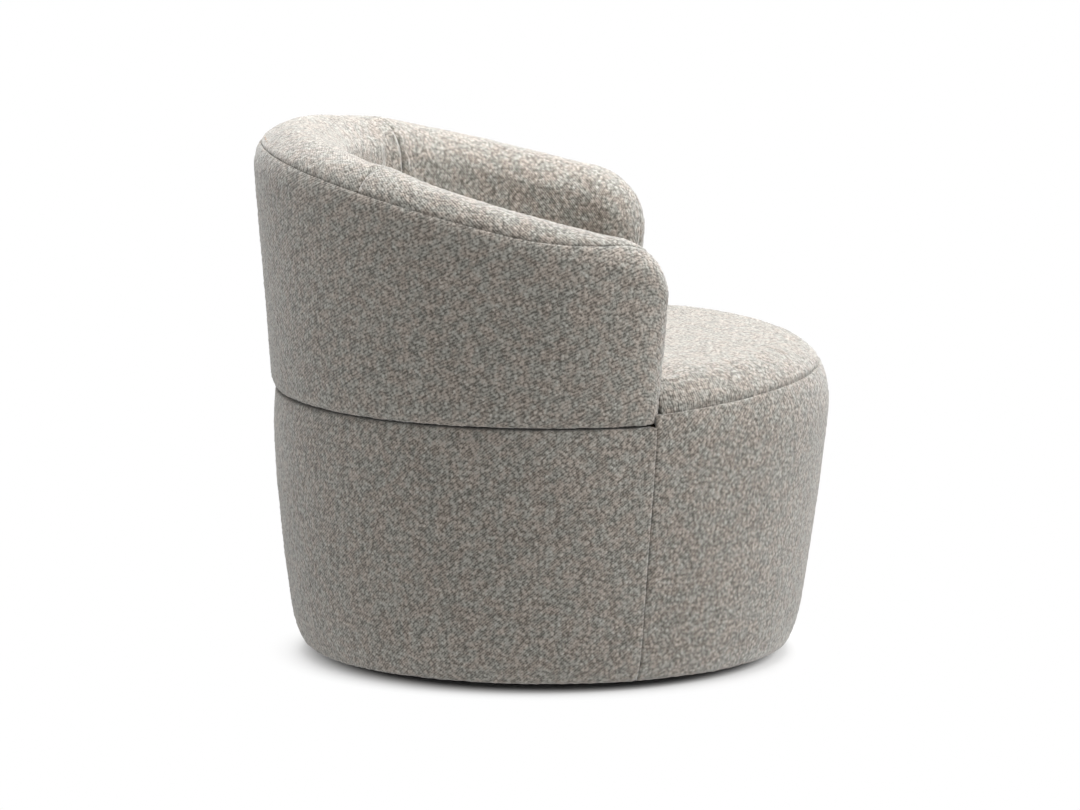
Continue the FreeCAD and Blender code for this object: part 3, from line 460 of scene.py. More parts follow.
# %% [markdown]
# A cover's edge isn't cut off: the cloth is turned in and sewn to its neighbour. So the surface dips
# into the seam, and beside it swells a little, unevenly, because the stitches gather the cloth. Both
# could be painted as a dark line, but a seam catches light, so it is shaped. The turned-in edge then
# runs down to a coarse back, which closes the panel into one solid cushion.

# %% Seams
SEAM_DIP = 0.0026
SEAM_DIP_WIDTH = 0.0034
WELT_HEIGHT = 0.0009
WELT_PLACE = 0.0075
WELT_WIDTH = 0.0040
GATHER_LEVEL = 0.75
GATHER_SPREAD = 0.6
GATHER_CELL = 0.011
GATHER_SEED = 71


def seam_profile(points, distances, seams):
    """How far the seams move the cloth. seams gives each sewn border the strength of its dip and welt."""
    offset = np.zeros(points.shape[:2])
    gather = GATHER_LEVEL + GATHER_SPREAD * soft_noise(points, GATHER_CELL, GATHER_SEED)
    for border, (dip, welt) in seams.items():
        away = distances[border]
        offset -= dip * SEAM_DIP * np.exp(-(away / SEAM_DIP_WIDTH) ** 2)
        offset += welt * WELT_HEIGHT * gather * np.exp(-((away - WELT_PLACE) / WELT_WIDTH) ** 2)
    return offset


print("a full seam is", SEAM_DIP * 1000, "mm deep, with a welt of", WELT_HEIGHT * 1000, "mm beside it")

# %% Close a panel
BACK_DEPTH = 0.012
BACK_STEP = 8


def edge_faces(edge, inner, marks, forward):
    """Faces that join one border of the fine grid to the same border of the coarse back."""
    faces = []
    for i in range(len(marks) - 1):
        loop = edge[marks[i]:marks[i + 1] + 1].tolist()[::-1] + [int(inner[i]), int(inner[i + 1])]
        faces.append(loop if forward else loop[::-1])
    return faces


def close_panel(name, points, normals, thread):
    """A solid from a fine grid: its turned-in edge and a coarse back are added."""
    rows, cols = points.shape[:2]
    row_marks = sorted(set(list(range(0, rows, BACK_STEP)) + [rows - 1]))
    col_marks = sorted(set(list(range(0, cols, BACK_STEP)) + [cols - 1]))
    kept = np.ix_(row_marks, col_marks)
    back = (points - normals * BACK_DEPTH)[kept]
    fine = np.arange(rows * cols).reshape(rows, cols)
    coarse = rows * cols + np.arange(len(row_marks) * len(col_marks)).reshape(len(row_marks), len(col_marks))
    faces = grid_faces(rows, cols).tolist()
    faces += grid_faces(len(row_marks), len(col_marks), rows * cols, True).tolist()
    faces += edge_faces(fine[0], coarse[0], col_marks, True)
    faces += edge_faces(fine[-1], coarse[-1], col_marks, False)
    faces += edge_faces(fine[:, 0], coarse[:, 0], row_marks, False)
    faces += edge_faces(fine[:, -1], coarse[:, -1], row_marks, True)
    places = np.concatenate([points.reshape(-1, 3), back.reshape(-1, 3)])
    mesh = bpy.data.meshes.new(name)
    mesh.from_pydata(places.tolist(), [], faces)
    mesh.shade_smooth()
    lay = np.zeros((len(places), 3))
    lay[:rows * cols, :2] = thread.reshape(-1, 2)
    lay[rows * cols:, :2] = thread[kept].reshape(-1, 2)
    layer = mesh.attributes.new("thread_lay", "FLOAT_VECTOR", "POINT")
    layer.data.foreach_set("vector", lay.astype(np.float32).ravel())
    piece = bpy.data.objects.new(name, mesh)
    bpy.context.scene.collection.objects.link(piece)
    return piece


# %% Sew a panel
FEWEST_CELLS = 6
SWELL_SINK = 3


def grid_shares(width, length, pitch, fewest=0):
    """Shares along a panel's width and down its length, for cells of one pitch."""
    cols = max(fewest, round(width / pitch)) + 1
    rows = max(fewest, round(length / pitch)) + 1
    return np.linspace(0, 1, cols)[None, :], np.linspace(0, 1, rows)[:, None]


def sew_panel(name, surface, width, length, seams, swell, extra=None):
    """One cover panel over its foam, from a surface of two shares: along its width, down its length.
    It starts a third of its swell low, so that the pressed-out cloth stays near the outline."""
    base, thread = surface(*grid_shares(width, length, PILLOW_PITCH, FEWEST_CELLS))
    push = press_out(base, outward_normals(base), swell)
    points, thread = surface(*grid_shares(width, length, CLOTH_PITCH))
    rows, cols = points.shape[:2]
    normals = outward_normals(points)
    offset = spread(push, rows, cols) - swell / SWELL_SINK * (push.max() > 0)
    offset += seam_profile(points, border_distances(points), seams) + knots(points)
    if extra is not None:
        offset += extra(points)
    points = points + normals * offset[..., None]
    piece = close_panel(name, points, normals, thread)
    print(name, len(piece.data.polygons), "faces, foam push up to", round(float(push.max()) * 1000, 2), "mm")
    return piece


# %% [markdown]
# Four panels cover the shell. The outer one runs round the outside from arm to arm. The three inner
# ones come up the inside, over the crest, and meet it in the top seam, a few centimetres further out.
# Two upright seams part them where the back turns into the arms. One stretched cover could look
# alike, but flat cloth can't follow both the arm's roll and the back's hollow, so the real cover is
# cut in panels, and each has its own grid here, with its edges along its seams.

# %% Along the shell
FLAT_SHARE = 0.012
ROLL_SHARE = 0.075


def sweep_stations(share, end_angle):
    """Distance from the arm's end and share of the flat end, from the flat end's middle to an angle."""
    reach = (ARM_END - end_angle) * ARM_RADIUS
    flat = np.clip(share / FLAT_SHARE, 0, 1)
    roll = np.clip((share - FLAT_SHARE) / ROLL_SHARE, 0, 1) * math.pi / 2
    past = np.clip((share - FLAT_SHARE - ROLL_SHARE) / (1 - FLAT_SHARE - ROLL_SHARE), 0, 1)
    return ARM_ROLL * (1 - np.cos(roll)) + (reach - ARM_ROLL) * past, flat


print("from an arm's end to the rear:", round(float(sweep_stations(1.0, 0.0)[0]), 3), "m along the crest")


# %% Surfaces of the inner panels
def inner_surface(side, end_angle):
    """An arm's inner panel, from the flat end's middle to the upright seam."""
    def surface(along, down):
        distance, flat = sweep_stations(along if side > 0 else 1 - along, end_angle)
        inner, outer = section_lengths(distance, flat)
        seam = seam_over(distance, flat) - SEAM_GAP / 2
        over = seam - (seam + inner) * down
        points = shell_point(side, distance + 0 * over, flat + 0 * over, over)
        thread = np.stack([side * (ARM_END * ARM_RADIUS - distance) + 0 * over, -over], -1)
        return points, thread
    return surface


def centre_surface(along, down):
    """The back's inner panel, between the two upright seams."""
    angle = PANEL_SEAM_ANGLE * (1 - 2 * along)
    distance = (ARM_END - np.abs(angle)) * ARM_RADIUS
    inner, outer = section_lengths(distance, 1.0)
    seam = seam_over(distance, 1.0) - SEAM_GAP / 2
    over = seam - (seam + inner) * down
    side = np.sign(angle) + (angle == 0)
    points = shell_point(side, distance + 0 * over, 1.0, over)
    return points, np.stack([angle * ARM_RADIUS + 0 * over, -over], -1)


# %% Surface of the outer panel
HEM_TUCK = 0.028


def outer_surface(along, down):
    """The panel round the outside, from the one arm's flat end to the other's."""
    side = np.where(along < 0.5, -1.0, 1.0)
    distance, flat = sweep_stations(1 - np.abs(2 * along - 1), 0.0)
    inner, outer = section_lengths(distance, flat)
    seam = seam_over(distance, flat) + SEAM_GAP / 2
    over = seam + (outer + HEM_TUCK * flat - seam) * down
    points = shell_point(side, distance + 0 * over, flat + 0 * over, over)
    turned = side * (ARM_END * ARM_RADIUS - distance)
    return points, np.stack([-turned + 0 * over, -over], -1)


# %% [markdown]
# The drum's cover is a band in two parts, sewn under the arms' fronts. The rear part comes out along
# the ledge that the shell stands on, rounds its edge, and runs down. The front part starts in a tuck
# under the seat's edge. Both go round the heel and are tacked under the plinth. Turning one profile
# like a lathe would give a whole band, but not its seams or its tuck. So the profile is drawn once, as
# a line of radius and height, and every column of a panel follows it from its own start.

# %% Profiles of the drum's cover
EDGE_ROUND = 0.004
LEDGE_REACH = 0.030
LEDGE_DROP = 0.0008
SIDE_SEAM_SETBACK = 0.023
SIDE_SEAM_ANGLE = ARM_END - SIDE_SEAM_SETBACK / ARM_RADIUS
DOWN_STEPS = 400
UNDER_STEPS = 40
EDGE_STEPS = 20


def heel_profile(top):
    """Radius and height from a height down the barrel and under the heel."""
    heights = FLOOR_GAP + (top - FLOOR_GAP) * np.cos(np.linspace(0, math.pi / 2, DOWN_STEPS))
    radii = drum_radius(heights)
    under = np.linspace(0, TURN_UNDER, UNDER_STEPS)[1:]
    radii = np.concatenate([radii, radii[-1] - under])
    return radii, np.concatenate([heights, np.full(len(under), FLOOR_GAP)])


def ledge_profile():
    """The same from under the shell: out along the ledge and round its edge."""
    top = LEDGE_HEIGHT - LEDGE_DROP
    radii, heights = heel_profile(top - EDGE_ROUND)
    turn = np.linspace(0, math.pi / 2, EDGE_STEPS)[:-1]
    edge_radii = radii[0] - EDGE_ROUND * (1 - np.sin(turn))
    edge_heights = top - EDGE_ROUND * (1 - np.cos(turn))
    return (np.concatenate([[edge_radii[0] - LEDGE_REACH], edge_radii, radii]),
            np.concatenate([[top], edge_heights, heights]))


print("side seams at", round(math.degrees(SIDE_SEAM_ANGLE), 1), "degrees from the rear")

# %% Surfaces of the drum's bands
FRONT_TUCK = 0.030
FRONT_TOP_SETBACK = 0.006


def seam_height(angle):
    """The seam between seat and drum climbs from the arms to the front."""
    y = CENTRE + DRUM_RADIUS * np.cos(angle)
    part = (END_Y - y) / (END_Y - CENTRE + DRUM_RADIUS)
    return SEAM_HEIGHT_AT_ARMS + (SEAM_HEIGHT_AT_FRONT - SEAM_HEIGHT_AT_ARMS) * part


def band_surface(front):
    """The surface of the front or the rear band, and the length of its profile."""
    radii, heights = heel_profile(SHOULDER_TOP - FRONT_TOP_SETBACK) if front else ledge_profile()
    lengths = np.concatenate([[0], np.cumsum(np.hypot(np.diff(radii), np.diff(heights)))])

    def surface(along, down):
        gap = SEAM_GAP / DRUM_RADIUS
        if front:
            angle = math.pi - (math.pi - SIDE_SEAM_ANGLE - gap) * (1 - 2 * along)
            start = np.interp(-(seam_height(angle) - SEAM_GAP), -heights, lengths)
        else:
            angle = -(SIDE_SEAM_ANGLE - gap) * (1 - 2 * along)
            start = 0 * along
        tuck = FRONT_TUCK if front else 0
        run = start - tuck + (lengths[-1] - start + tuck) * down
        radius = np.interp(run, lengths, radii)
        height = np.interp(run, lengths, heights)
        if front:
            inwards = np.clip(start - run, 0, None)
            radius = np.where(inwards > 0, np.interp(start, lengths, radii) - inwards, radius)
            height = np.where(inwards > 0, np.interp(start, lengths, heights) + 0 * inwards, height)
        points = np.stack([radius * np.sin(angle), drum_middle(height) + radius * np.cos(angle), height], -1)
        return points, np.stack([-angle * DRUM_RADIUS + 0 * run, -run], -1)
    return surface, float(lengths[-1])


print("seat seam at the front:", round(float(seam_height(math.pi)), 3), "m high")

# %% [markdown]
# The seat is a crowned pad. At the back and sides its edge is pressed down against the inside of the
# shell, and at the front it rolls over the shoulder to the seam. A disc of rings would crowd its
# points in the middle. A square grid, laid on the round plan by stretching squares to circles, gives
# the cloth the same fineness everywhere and keeps its threads straight across the seat.

# %% The seat's plan
PAD_TOP = 0.427
PAD_SHOULDER = 0.045
WALL_GAP = 0.0012
WALL_DIP = 0.011
ARM_TUCK = 0.022
ARM_CLEARANCE = 0.004
ROLL_STEPS = 30
WALL_STEPS = 160
FRONT_STEPS = 120


def seat_outline():
    """Radius of the seat's edge at each angle from the rear, measured from the seat's centre."""
    stations = np.concatenate([ARM_ROLL * (1 - np.cos(np.linspace(0, math.pi / 2, ROLL_STEPS))),
                               np.linspace(ARM_ROLL, ARM_END * ARM_RADIUS, WALL_STEPS)[1:]])
    inner, outer = section_lengths(stations, 1.0)
    level = PAD_TOP - WALL_DIP
    over = -(inner - (level - SHELL_FOOT))
    wall = shell_point(1, stations, 1.0, over)
    angles = np.arctan2(wall[:, 0], wall[:, 1] - CENTRE)
    radii = np.hypot(wall[:, 0], wall[:, 1] - CENTRE) - WALL_GAP
    front = np.linspace(angles[0] - ARM_TUCK, math.pi, FRONT_STEPS)
    share = (seam_height(front) + SEAM_GAP - WIDEST_HEIGHT) / (PAD_TOP - WIDEST_HEIGHT)
    edge = DRUM_RADIUS - PAD_SHOULDER * (1 - np.sqrt(1 - share ** 2))
    behind = angles < front[0] - ARM_CLEARANCE
    return np.concatenate([angles[behind][::-1], front]), np.concatenate([radii[behind][::-1], edge])


OUTLINE_ANGLES, OUTLINE_RADII = seat_outline()
print("seat's edge is", np.round([OUTLINE_RADII.min(), OUTLINE_RADII.max()], 3).tolist(), "m from its centre")

# %% The seat's top
PAD_CROWN = 0.009
BUNCHING = 0.035
WALL_ROLL = 0.016
WALL_END = ARM_END + 0.02
WALL_FADE = 0.03


def seat_surface(along, down):
    """The seat's top: a square of shares, stretched to the round plan."""
    x = 1 - 2 * along + 0 * down
    y = 1 - 2 * down + 0 * along
    share = np.maximum(np.abs(x), np.abs(y))
    safe = np.maximum(share, 1e-9)
    wide = np.abs(x) >= np.abs(y)
    eighth = math.pi / 4 * np.where(wide, y / safe, x / safe)
    angle = np.where(wide, np.where(x > 0, math.pi / 2 - eighth, -math.pi / 2 + eighth),
                     np.where(y > 0, eighth, math.pi - eighth))
    angle = (angle + math.pi) % (2 * math.pi) - math.pi
    limit = np.interp(np.abs(angle), OUTLINE_ANGLES, OUTLINE_RADII)
    radius = limit * (share + BUNCHING * np.sin(math.pi * share))
    flat = DRUM_RADIUS - PAD_SHOULDER
    beyond = np.clip((radius - flat) / PAD_SHOULDER, 0, 1)
    crown = PAD_TOP + PAD_CROWN * (1 - (np.minimum(radius, flat) / flat) ** 2)
    shoulder = WIDEST_HEIGHT + (PAD_TOP - WIDEST_HEIGHT) * np.sqrt(1 - beyond ** 2)
    height = np.where(radius > flat, shoulder, crown)
    at_wall = np.clip(1 - (limit - radius) / WALL_ROLL, 0, 1)
    walled = np.clip((WALL_END - np.abs(angle)) / WALL_FADE, 0, 1)
    height = height - WALL_DIP * walled * (1 - np.sqrt(1 - at_wall ** 2))
    points = np.stack([radius * np.sin(angle), CENTRE + radius * np.cos(angle), height], -1)
    return points, points[..., :2].copy()


# %% Pulls at the arms' feet
PUCKER_HEIGHT = 0.0012
PUCKER_REACH = 0.045
PUCKER_PITCH = 0.009
PUCKER_SWAY = 3
PUCKER_CELL = 0.03
PUCKER_SEED = 91


def arm_foot_puckers(points):
    """Short pulls in the seat's cloth where it is tucked round the foot of each arm."""
    offset = np.zeros(points.shape[:2])
    sway = PUCKER_SWAY * soft_noise(points, PUCKER_CELL, PUCKER_SEED)
    for side in (-1, 1):
        foot = shell_point(side, np.array(0.0), np.array(1.0), np.array(0.0))
        away = np.hypot(points[..., 0] - foot[0], points[..., 1] - foot[1])
        ripple = np.sin(2 * math.pi * points[..., 2] / PUCKER_PITCH + sway)
        offset += PUCKER_HEIGHT * np.exp(-(away / PUCKER_REACH) ** 2) * ripple
    return offset


# %% [markdown]
# Now the seven panels are sewn. Each gets the rough size of its cloth, which sets how many cells its
# grid has, the strength of its dip and welt at every sewn border, and how far its foam may swell. A
# border without a seam is one that is tucked out of sight.

# %% Sew the shell's panels
END_LENGTH = 0.030
OUTER_RADIUS = 0.392
OUTER_LENGTH = 0.300
BACK_RADIUS = 0.36
BACK_LENGTH = 0.430
ARM_LENGTH = 0.340
TIGHT_SWELL = 0.0030
BACK_SWELL = 0.0040
OUTER_SEAMS = {"left": (1, 1), "right": (1, 1), "top": (0.25, 0.4)}
INNER_SEAMS = {"left": (1, 0.8), "right": (1, 0.8), "top": (0.25, 1.2)}

panels = {}
panels["shell_outer_panel"] = sew_panel(
    "shell_outer_panel", outer_surface, 2 * (ARM_END * OUTER_RADIUS + END_LENGTH), OUTER_LENGTH,
    OUTER_SEAMS, TIGHT_SWELL)
panels["back_inner_panel"] = sew_panel(
    "back_inner_panel", centre_surface, 2 * PANEL_SEAM_ANGLE * BACK_RADIUS, BACK_LENGTH,
    INNER_SEAMS, BACK_SWELL)
for side, word in ((-1, "right"), (1, "left")):
    panels["arm_inner_panel_" + word] = sew_panel(
        "arm_inner_panel_" + word, inner_surface(side, PANEL_SEAM_ANGLE),
        (ARM_END - PANEL_SEAM_ANGLE) * ARM_RADIUS + END_LENGTH, ARM_LENGTH, INNER_SEAMS, TIGHT_SWELL)

# %% Sew the drum's and the seat's panels
TUCK_ALLOWANCE = 0.01
SEAT_SPAN = 0.70
SEAT_SWELL = 0.0050
BAND_SEAMS = {"left": (0.3, 0.4), "right": (0.3, 0.4)}
SEAT_SEAMS = {"left": (0.8, 1), "right": (0.8, 1), "top": (0.8, 1), "bottom": (0.8, 1)}

rear_band, rear_length = band_surface(False)
front_band, front_length = band_surface(True)
panels["base_band_rear"] = sew_panel(
    "base_band_rear", rear_band, 2 * SIDE_SEAM_ANGLE * DRUM_RADIUS, rear_length, BAND_SEAMS, TIGHT_SWELL)
panels["base_band_front"] = sew_panel(
    "base_band_front", front_band, 2 * (math.pi - SIDE_SEAM_ANGLE) * DRUM_RADIUS,
    front_length + TUCK_ALLOWANCE, BAND_SEAMS, TIGHT_SWELL)
panels["seat_pad"] = sew_panel(
    "seat_pad", seat_surface, SEAT_SPAN, SEAT_SPAN, SEAT_SEAMS, SEAT_SWELL, arm_foot_puckers)

# %% [markdown]
# Every panel turns with the chair and takes the place of the plain solids that the model holds for the same
# cover and foam, which are hidden.

# %% Put the panels in the solids' place
STANDS_FOR = {
    "shell_outer_panel": ["back_cover_outer", "back_foam"],
    "back_inner_panel": ["back_cover_centre"],
    "arm_inner_panel_right": ["back_cover_right"],
    "arm_inner_panel_left": ["back_cover_left"],
    "base_band_rear": ["base_cover_rear", "base_foam"],
    "base_band_front": ["base_cover_front"],
    "seat_pad": ["seat_cover", "seat_foam"],
}
for name, piece in panels.items():
    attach(piece, "chair")
    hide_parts(*STANDS_FOR[name])
print(len(panels), "panels stand for", sum(len(solids) for solids in STANDS_FOR.values()), "plain solids")

# %% [markdown]
# The finishes are made of nodes. An effect that more than one material could use is a group with
# named inputs, which puts out colours, heights and roughness only, and the shader stays in the
# material. These helpers add the nodes that repeat.


# %% Node helpers
def new_group(name, inputs, outputs):
    """An empty node group with named sockets: the tree, what it is given, and what it makes."""
    tree = bpy.data.node_groups.new(name, "ShaderNodeTree")
    for word, kind, value in inputs:
        socket = tree.interface.new_socket(name=word, in_out="INPUT", socket_type=kind)
        socket.default_value = value
    for word, kind in outputs:
        tree.interface.new_socket(name=word, in_out="OUTPUT", socket_type=kind)
    return tree, tree.nodes.new("NodeGroupInput"), tree.nodes.new("NodeGroupOutput")


def math_node(tree, operation, *values):
    """One sum on numbers or sockets."""
    node = tree.nodes.new("ShaderNodeMath")
    node.operation = operation
    for index, value in enumerate(values):
        if isinstance(value, (int, float)):
            node.inputs[index].default_value = value
        else:
            tree.links.new(value, node.inputs[index])
    return node.outputs[0]


def mix_colours(tree, share, first, second, blend="MIX"):
    """A share of the second colour over the first. The mix node's colours are its inputs 6 and 7."""
    node = tree.nodes.new("ShaderNodeMix")
    node.data_type = "RGBA"
    node.blend_type = blend
    for socket, value in ((node.inputs[0], share), (node.inputs[6], first), (node.inputs[7], second)):
        if isinstance(value, bpy.types.NodeSocket):
            tree.links.new(value, socket)
        else:
            socket.default_value = value
    return node.outputs[2]


def noise_node(tree, place, scale, detail=2.0, roughness=0.5):
    """Blender's own noise, from 0 to 1."""
    node = tree.nodes.new("ShaderNodeTexNoise")
    node.inputs["Scale"].default_value = scale
    node.inputs["Detail"].default_value = detail
    node.inputs["Roughness"].default_value = roughness
    tree.links.new(place, node.inputs["Vector"])
    return node.outputs["Fac"]


def range_node(tree, value, low, high, out_low=0.0, out_high=1.0):
    """A smooth ramp from one value to another between two limits."""
    node = tree.nodes.new("ShaderNodeMapRange")
    node.interpolation_type = "SMOOTHSTEP"
    for word, number in (("From Min", low), ("From Max", high), ("To Min", out_low), ("To Max", out_high)):
        node.inputs[word].default_value = number
    tree.links.new(value, node.inputs["Value"])
    return node.outputs["Result"]


# %% Material helpers
def new_material(name):
    """A material with its tree and its Principled shader."""
    material = bpy.data.materials.new(name)
    material.use_nodes = True
    return material, material.node_tree, material.node_tree.nodes["Principled BSDF"]


def use_group(tree, group, **values):
    """A group placed in a material with its own values. An underscore stands for a space."""
    node = tree.nodes.new("ShaderNodeGroup")
    node.node_tree = group
    for word, value in values.items():
        node.inputs[word.replace("_", " ")].default_value = value
    return node


def bump(tree, shader, height, strength, distance):
    """Fine relief in the shading, on top of the mesh."""
    node = tree.nodes.new("ShaderNodeBump")
    node.inputs["Strength"].default_value = strength
    node.inputs["Distance"].default_value = distance
    tree.links.new(height, node.inputs["Height"])
    tree.links.new(node.outputs["Normal"], shader.inputs["Normal"])


# %% [markdown]
# The cover is looped wool: grey yarn and pale knots over a faint slanted twill, with painted shade
# darkening the low gaps between the knots. A picture of cloth would stretch over the curves and show
# its repeats. Noise on the object's own coordinates does neither. Only the twill has to follow the
# weave, so each panel carries the lay of its threads as an attribute, in metres along and down the
# cloth.

# %% Values of the looped wool
YARN = (0.315, 0.297, 0.268, 1)
# Painted shade: the colour of the low gaps between the knots, darker than the yarn.
GAP_SHADE = (0.098, 0.091, 0.080, 1)
KNOT = (0.47, 0.455, 0.425, 1)
COOL_TINT = (0.97, 1.0, 0.99, 1)
WARM_TINT = (1.06, 0.99, 0.95, 1)
TWILL_PERIOD = 0.0034
TWILL_ALONG = 0.64
TWILL_DOWN = 0.77
TWILL_WANDER = 0.0042
TWILL_SHARE = 0.07
KNOT_SHARE = 0.28
FIBRE_SHARE = 1.15
KNOT_SCALE = 175
KNOT_SMOOTHNESS = 0.35
WANDER_NOISE = {"scale": 90, "detail": 2}
FIBRE_NOISE = {"scale": 250, "detail": 4, "roughness": 0.65}
SLUB_NOISE = {"scale": 110, "detail": 2, "roughness": 0.6}
TINT_NOISE = {"scale": 58, "detail": 2, "roughness": 0.6}
KNOT_EDGE = {"low": 0.10, "high": 0.62, "out_low": 1.0, "out_high": 0.0}
# Heights over which the yarn's colour takes over from the painted gap shade.
YARN_OVER_SHADE = {"low": 0.38, "high": 0.80}
KNOT_SHOWS = {"low": 0.70, "high": 1.02}
SLUB_SHOWS = {"low": 0.42, "high": 0.70, "out_low": 0.25}
TINT_SHOWS = {"low": 0.35, "high": 0.65}
ROUGHNESS = {"low": 0, "high": 1, "out_low": 0.95, "out_high": 0.82}


# %% Looped wool
def twill_lines(tree, place, period):
    """Slanted waves along the cloth's threads, from -1 to 1, that wander a little."""
    lay = tree.nodes.new("ShaderNodeAttribute")
    lay.attribute_name = "thread_lay"
    parts = tree.nodes.new("ShaderNodeSeparateXYZ")
    tree.links.new(lay.outputs["Vector"], parts.inputs[0])
    wander = math_node(tree, "MULTIPLY", noise_node(tree, place, **WANDER_NOISE), TWILL_WANDER)
    slanted = math_node(tree, "SUBTRACT", math_node(tree, "MULTIPLY", parts.outputs[1], TWILL_DOWN),
                        math_node(tree, "MULTIPLY", parts.outputs[0], TWILL_ALONG))
    turns = math_node(tree, "DIVIDE", math_node(tree, "ADD", slanted, wander), period)
    return math_node(tree, "SINE", math_node(tree, "MULTIPLY", turns, 2 * math.pi))


def looped_cloth_group():
    """Twill lines, knots of yarn, fibres, slow shifts of colour, and painted shade where the cloth is low."""
    tree, given, made = new_group(
        "looped_cloth",
        [("Yarn", "NodeSocketColor", YARN), ("Gap", "NodeSocketColor", GAP_SHADE),
         ("Knot", "NodeSocketColor", KNOT), ("Twill Period", "NodeSocketFloat", TWILL_PERIOD)],
        [("Colour", "NodeSocketColor"), ("Height", "NodeSocketFloat"), ("Rough", "NodeSocketFloat")],
    )
    place = tree.nodes.new("ShaderNodeTexCoord").outputs["Object"]
    twill = twill_lines(tree, place, given.outputs["Twill Period"])
    cells = tree.nodes.new("ShaderNodeTexVoronoi")
    cells.feature = "SMOOTH_F1"
    cells.inputs["Scale"].default_value = KNOT_SCALE
    cells.inputs["Smoothness"].default_value = KNOT_SMOOTHNESS
    tree.links.new(place, cells.inputs["Vector"])
    knot = range_node(tree, cells.outputs["Distance"], **KNOT_EDGE)
    body = math_node(tree, "MULTIPLY_ADD", twill, TWILL_SHARE, math_node(tree, "MULTIPLY", knot, KNOT_SHARE))
    height = math_node(tree, "MULTIPLY_ADD", noise_node(tree, place, **FIBRE_NOISE), FIBRE_SHARE, body)
    # Painted shade: where the cloth's height is low, the dark gap colour replaces the yarn.
    depth = range_node(tree, height, **YARN_OVER_SHADE)
    colour = mix_colours(tree, depth, given.outputs["Gap"], given.outputs["Yarn"])
    slub = range_node(tree, noise_node(tree, place, **SLUB_NOISE), **SLUB_SHOWS)
    bright = math_node(tree, "MULTIPLY", slub, range_node(tree, height, **KNOT_SHOWS))
    colour = mix_colours(tree, bright, colour, given.outputs["Knot"])
    tint = range_node(tree, noise_node(tree, place, **TINT_NOISE), **TINT_SHOWS)
    colour = mix_colours(tree, 1.0, colour, mix_colours(tree, tint, COOL_TINT, WARM_TINT), "MULTIPLY")
    tree.links.new(colour, made.inputs["Colour"])
    tree.links.new(height, made.inputs["Height"])
    tree.links.new(range_node(tree, knot, **ROUGHNESS), made.inputs["Rough"])
    return tree


looped_cloth = looped_cloth_group()
print("looped_cloth group:", len(looped_cloth.nodes), "nodes")

# %% Cover the panels
SHEEN = 0.5
SHEEN_ROUGHNESS = 0.45
SPECULAR = 0.25
FIBRE_BUMP = 0.9
FIBRE_DEPTH = 0.0016


def cloth_material():
    """Looped wool with the soft sheen of its fibres."""
    material, tree, shader = new_material("looped_wool")
    # The group's second colour is painted shade for the gaps between the knots.
    node = use_group(tree, looped_cloth, Yarn=YARN, Gap=GAP_SHADE, Knot=KNOT, Twill_Period=TWILL_PERIOD)
    tree.links.new(node.outputs["Colour"], shader.inputs["Base Color"])
    tree.links.new(node.outputs["Rough"], shader.inputs["Roughness"])
    shader.inputs["Sheen Weight"].default_value = SHEEN
    shader.inputs["Sheen Roughness"].default_value = SHEEN_ROUGHNESS
    shader.inputs["Specular IOR Level"].default_value = SPECULAR
    bump(tree, shader, node.outputs["Height"], FIBRE_BUMP, FIBRE_DEPTH)
    return material


wool = cloth_material()
for piece in panels.values():
    piece.data.materials.append(wool)
print("wool on", len(panels), "panels")

# %% [markdown]
# Inside are birch plywood, fibreboard, elastic webbing, zinc-plated steel, a nylon ball cage, black
# paint and rubber. They are out of sight, and flat colours would do, but the model can be opened up
# later, so each gets a quiet grain. One group serves them all: two shades mixed by a noise that can be
# stretched, which gives plywood its layers and steel its cloudy zinc.


# %% Speckle for plain finishes
SPECKLE_DETAIL = 5
SPECKLE_RANGE = {"low": 0.32, "high": 0.68}


def speckle_group():
    """A noise that mixes two shades, for plain finishes with some life."""
    tree, given, made = new_group(
        "speckle",
        [("Dark", "NodeSocketColor", (0.1, 0.1, 0.1, 1)), ("Light", "NodeSocketColor", (0.2, 0.2, 0.2, 1)),
         ("Stretch", "NodeSocketVector", (1, 1, 1)), ("Scale", "NodeSocketFloat", 60.0)],
        [("Colour", "NodeSocketColor"), ("Height", "NodeSocketFloat")],
    )
    stretched = tree.nodes.new("ShaderNodeVectorMath")
    stretched.operation = "MULTIPLY"
    tree.links.new(tree.nodes.new("ShaderNodeTexCoord").outputs["Object"], stretched.inputs[0])
    tree.links.new(given.outputs["Stretch"], stretched.inputs[1])
    noise = tree.nodes.new("ShaderNodeTexNoise")
    noise.inputs["Detail"].default_value = SPECKLE_DETAIL
    tree.links.new(stretched.outputs[0], noise.inputs["Vector"])
    tree.links.new(given.outputs["Scale"], noise.inputs["Scale"])
    share = range_node(tree, noise.outputs["Fac"], **SPECKLE_RANGE)
    colour = mix_colours(tree, share, given.outputs["Dark"], given.outputs["Light"])
    tree.links.new(colour, made.inputs["Colour"])
    tree.links.new(noise.outputs["Fac"], made.inputs["Height"])
    return tree


speckle = speckle_group()


def plain_material(name, dark, light, scale, rough, relief, depth, metal=0, stretch=(1, 1, 1)):
    """A plain finish between two shades, with relief of a strength and a depth."""
    material, tree, shader = new_material(name)
    node = use_group(tree, speckle, Dark=(*dark, 1), Light=(*light, 1), Stretch=stretch, Scale=scale)
    tree.links.new(node.outputs["Colour"], shader.inputs["Base Color"])
    shader.inputs["Roughness"].default_value = rough
    shader.inputs["Metallic"].default_value = metal
    bump(tree, shader, node.outputs["Height"], relief, depth)
    return material


print("speckle group:", len(speckle.nodes), "nodes")

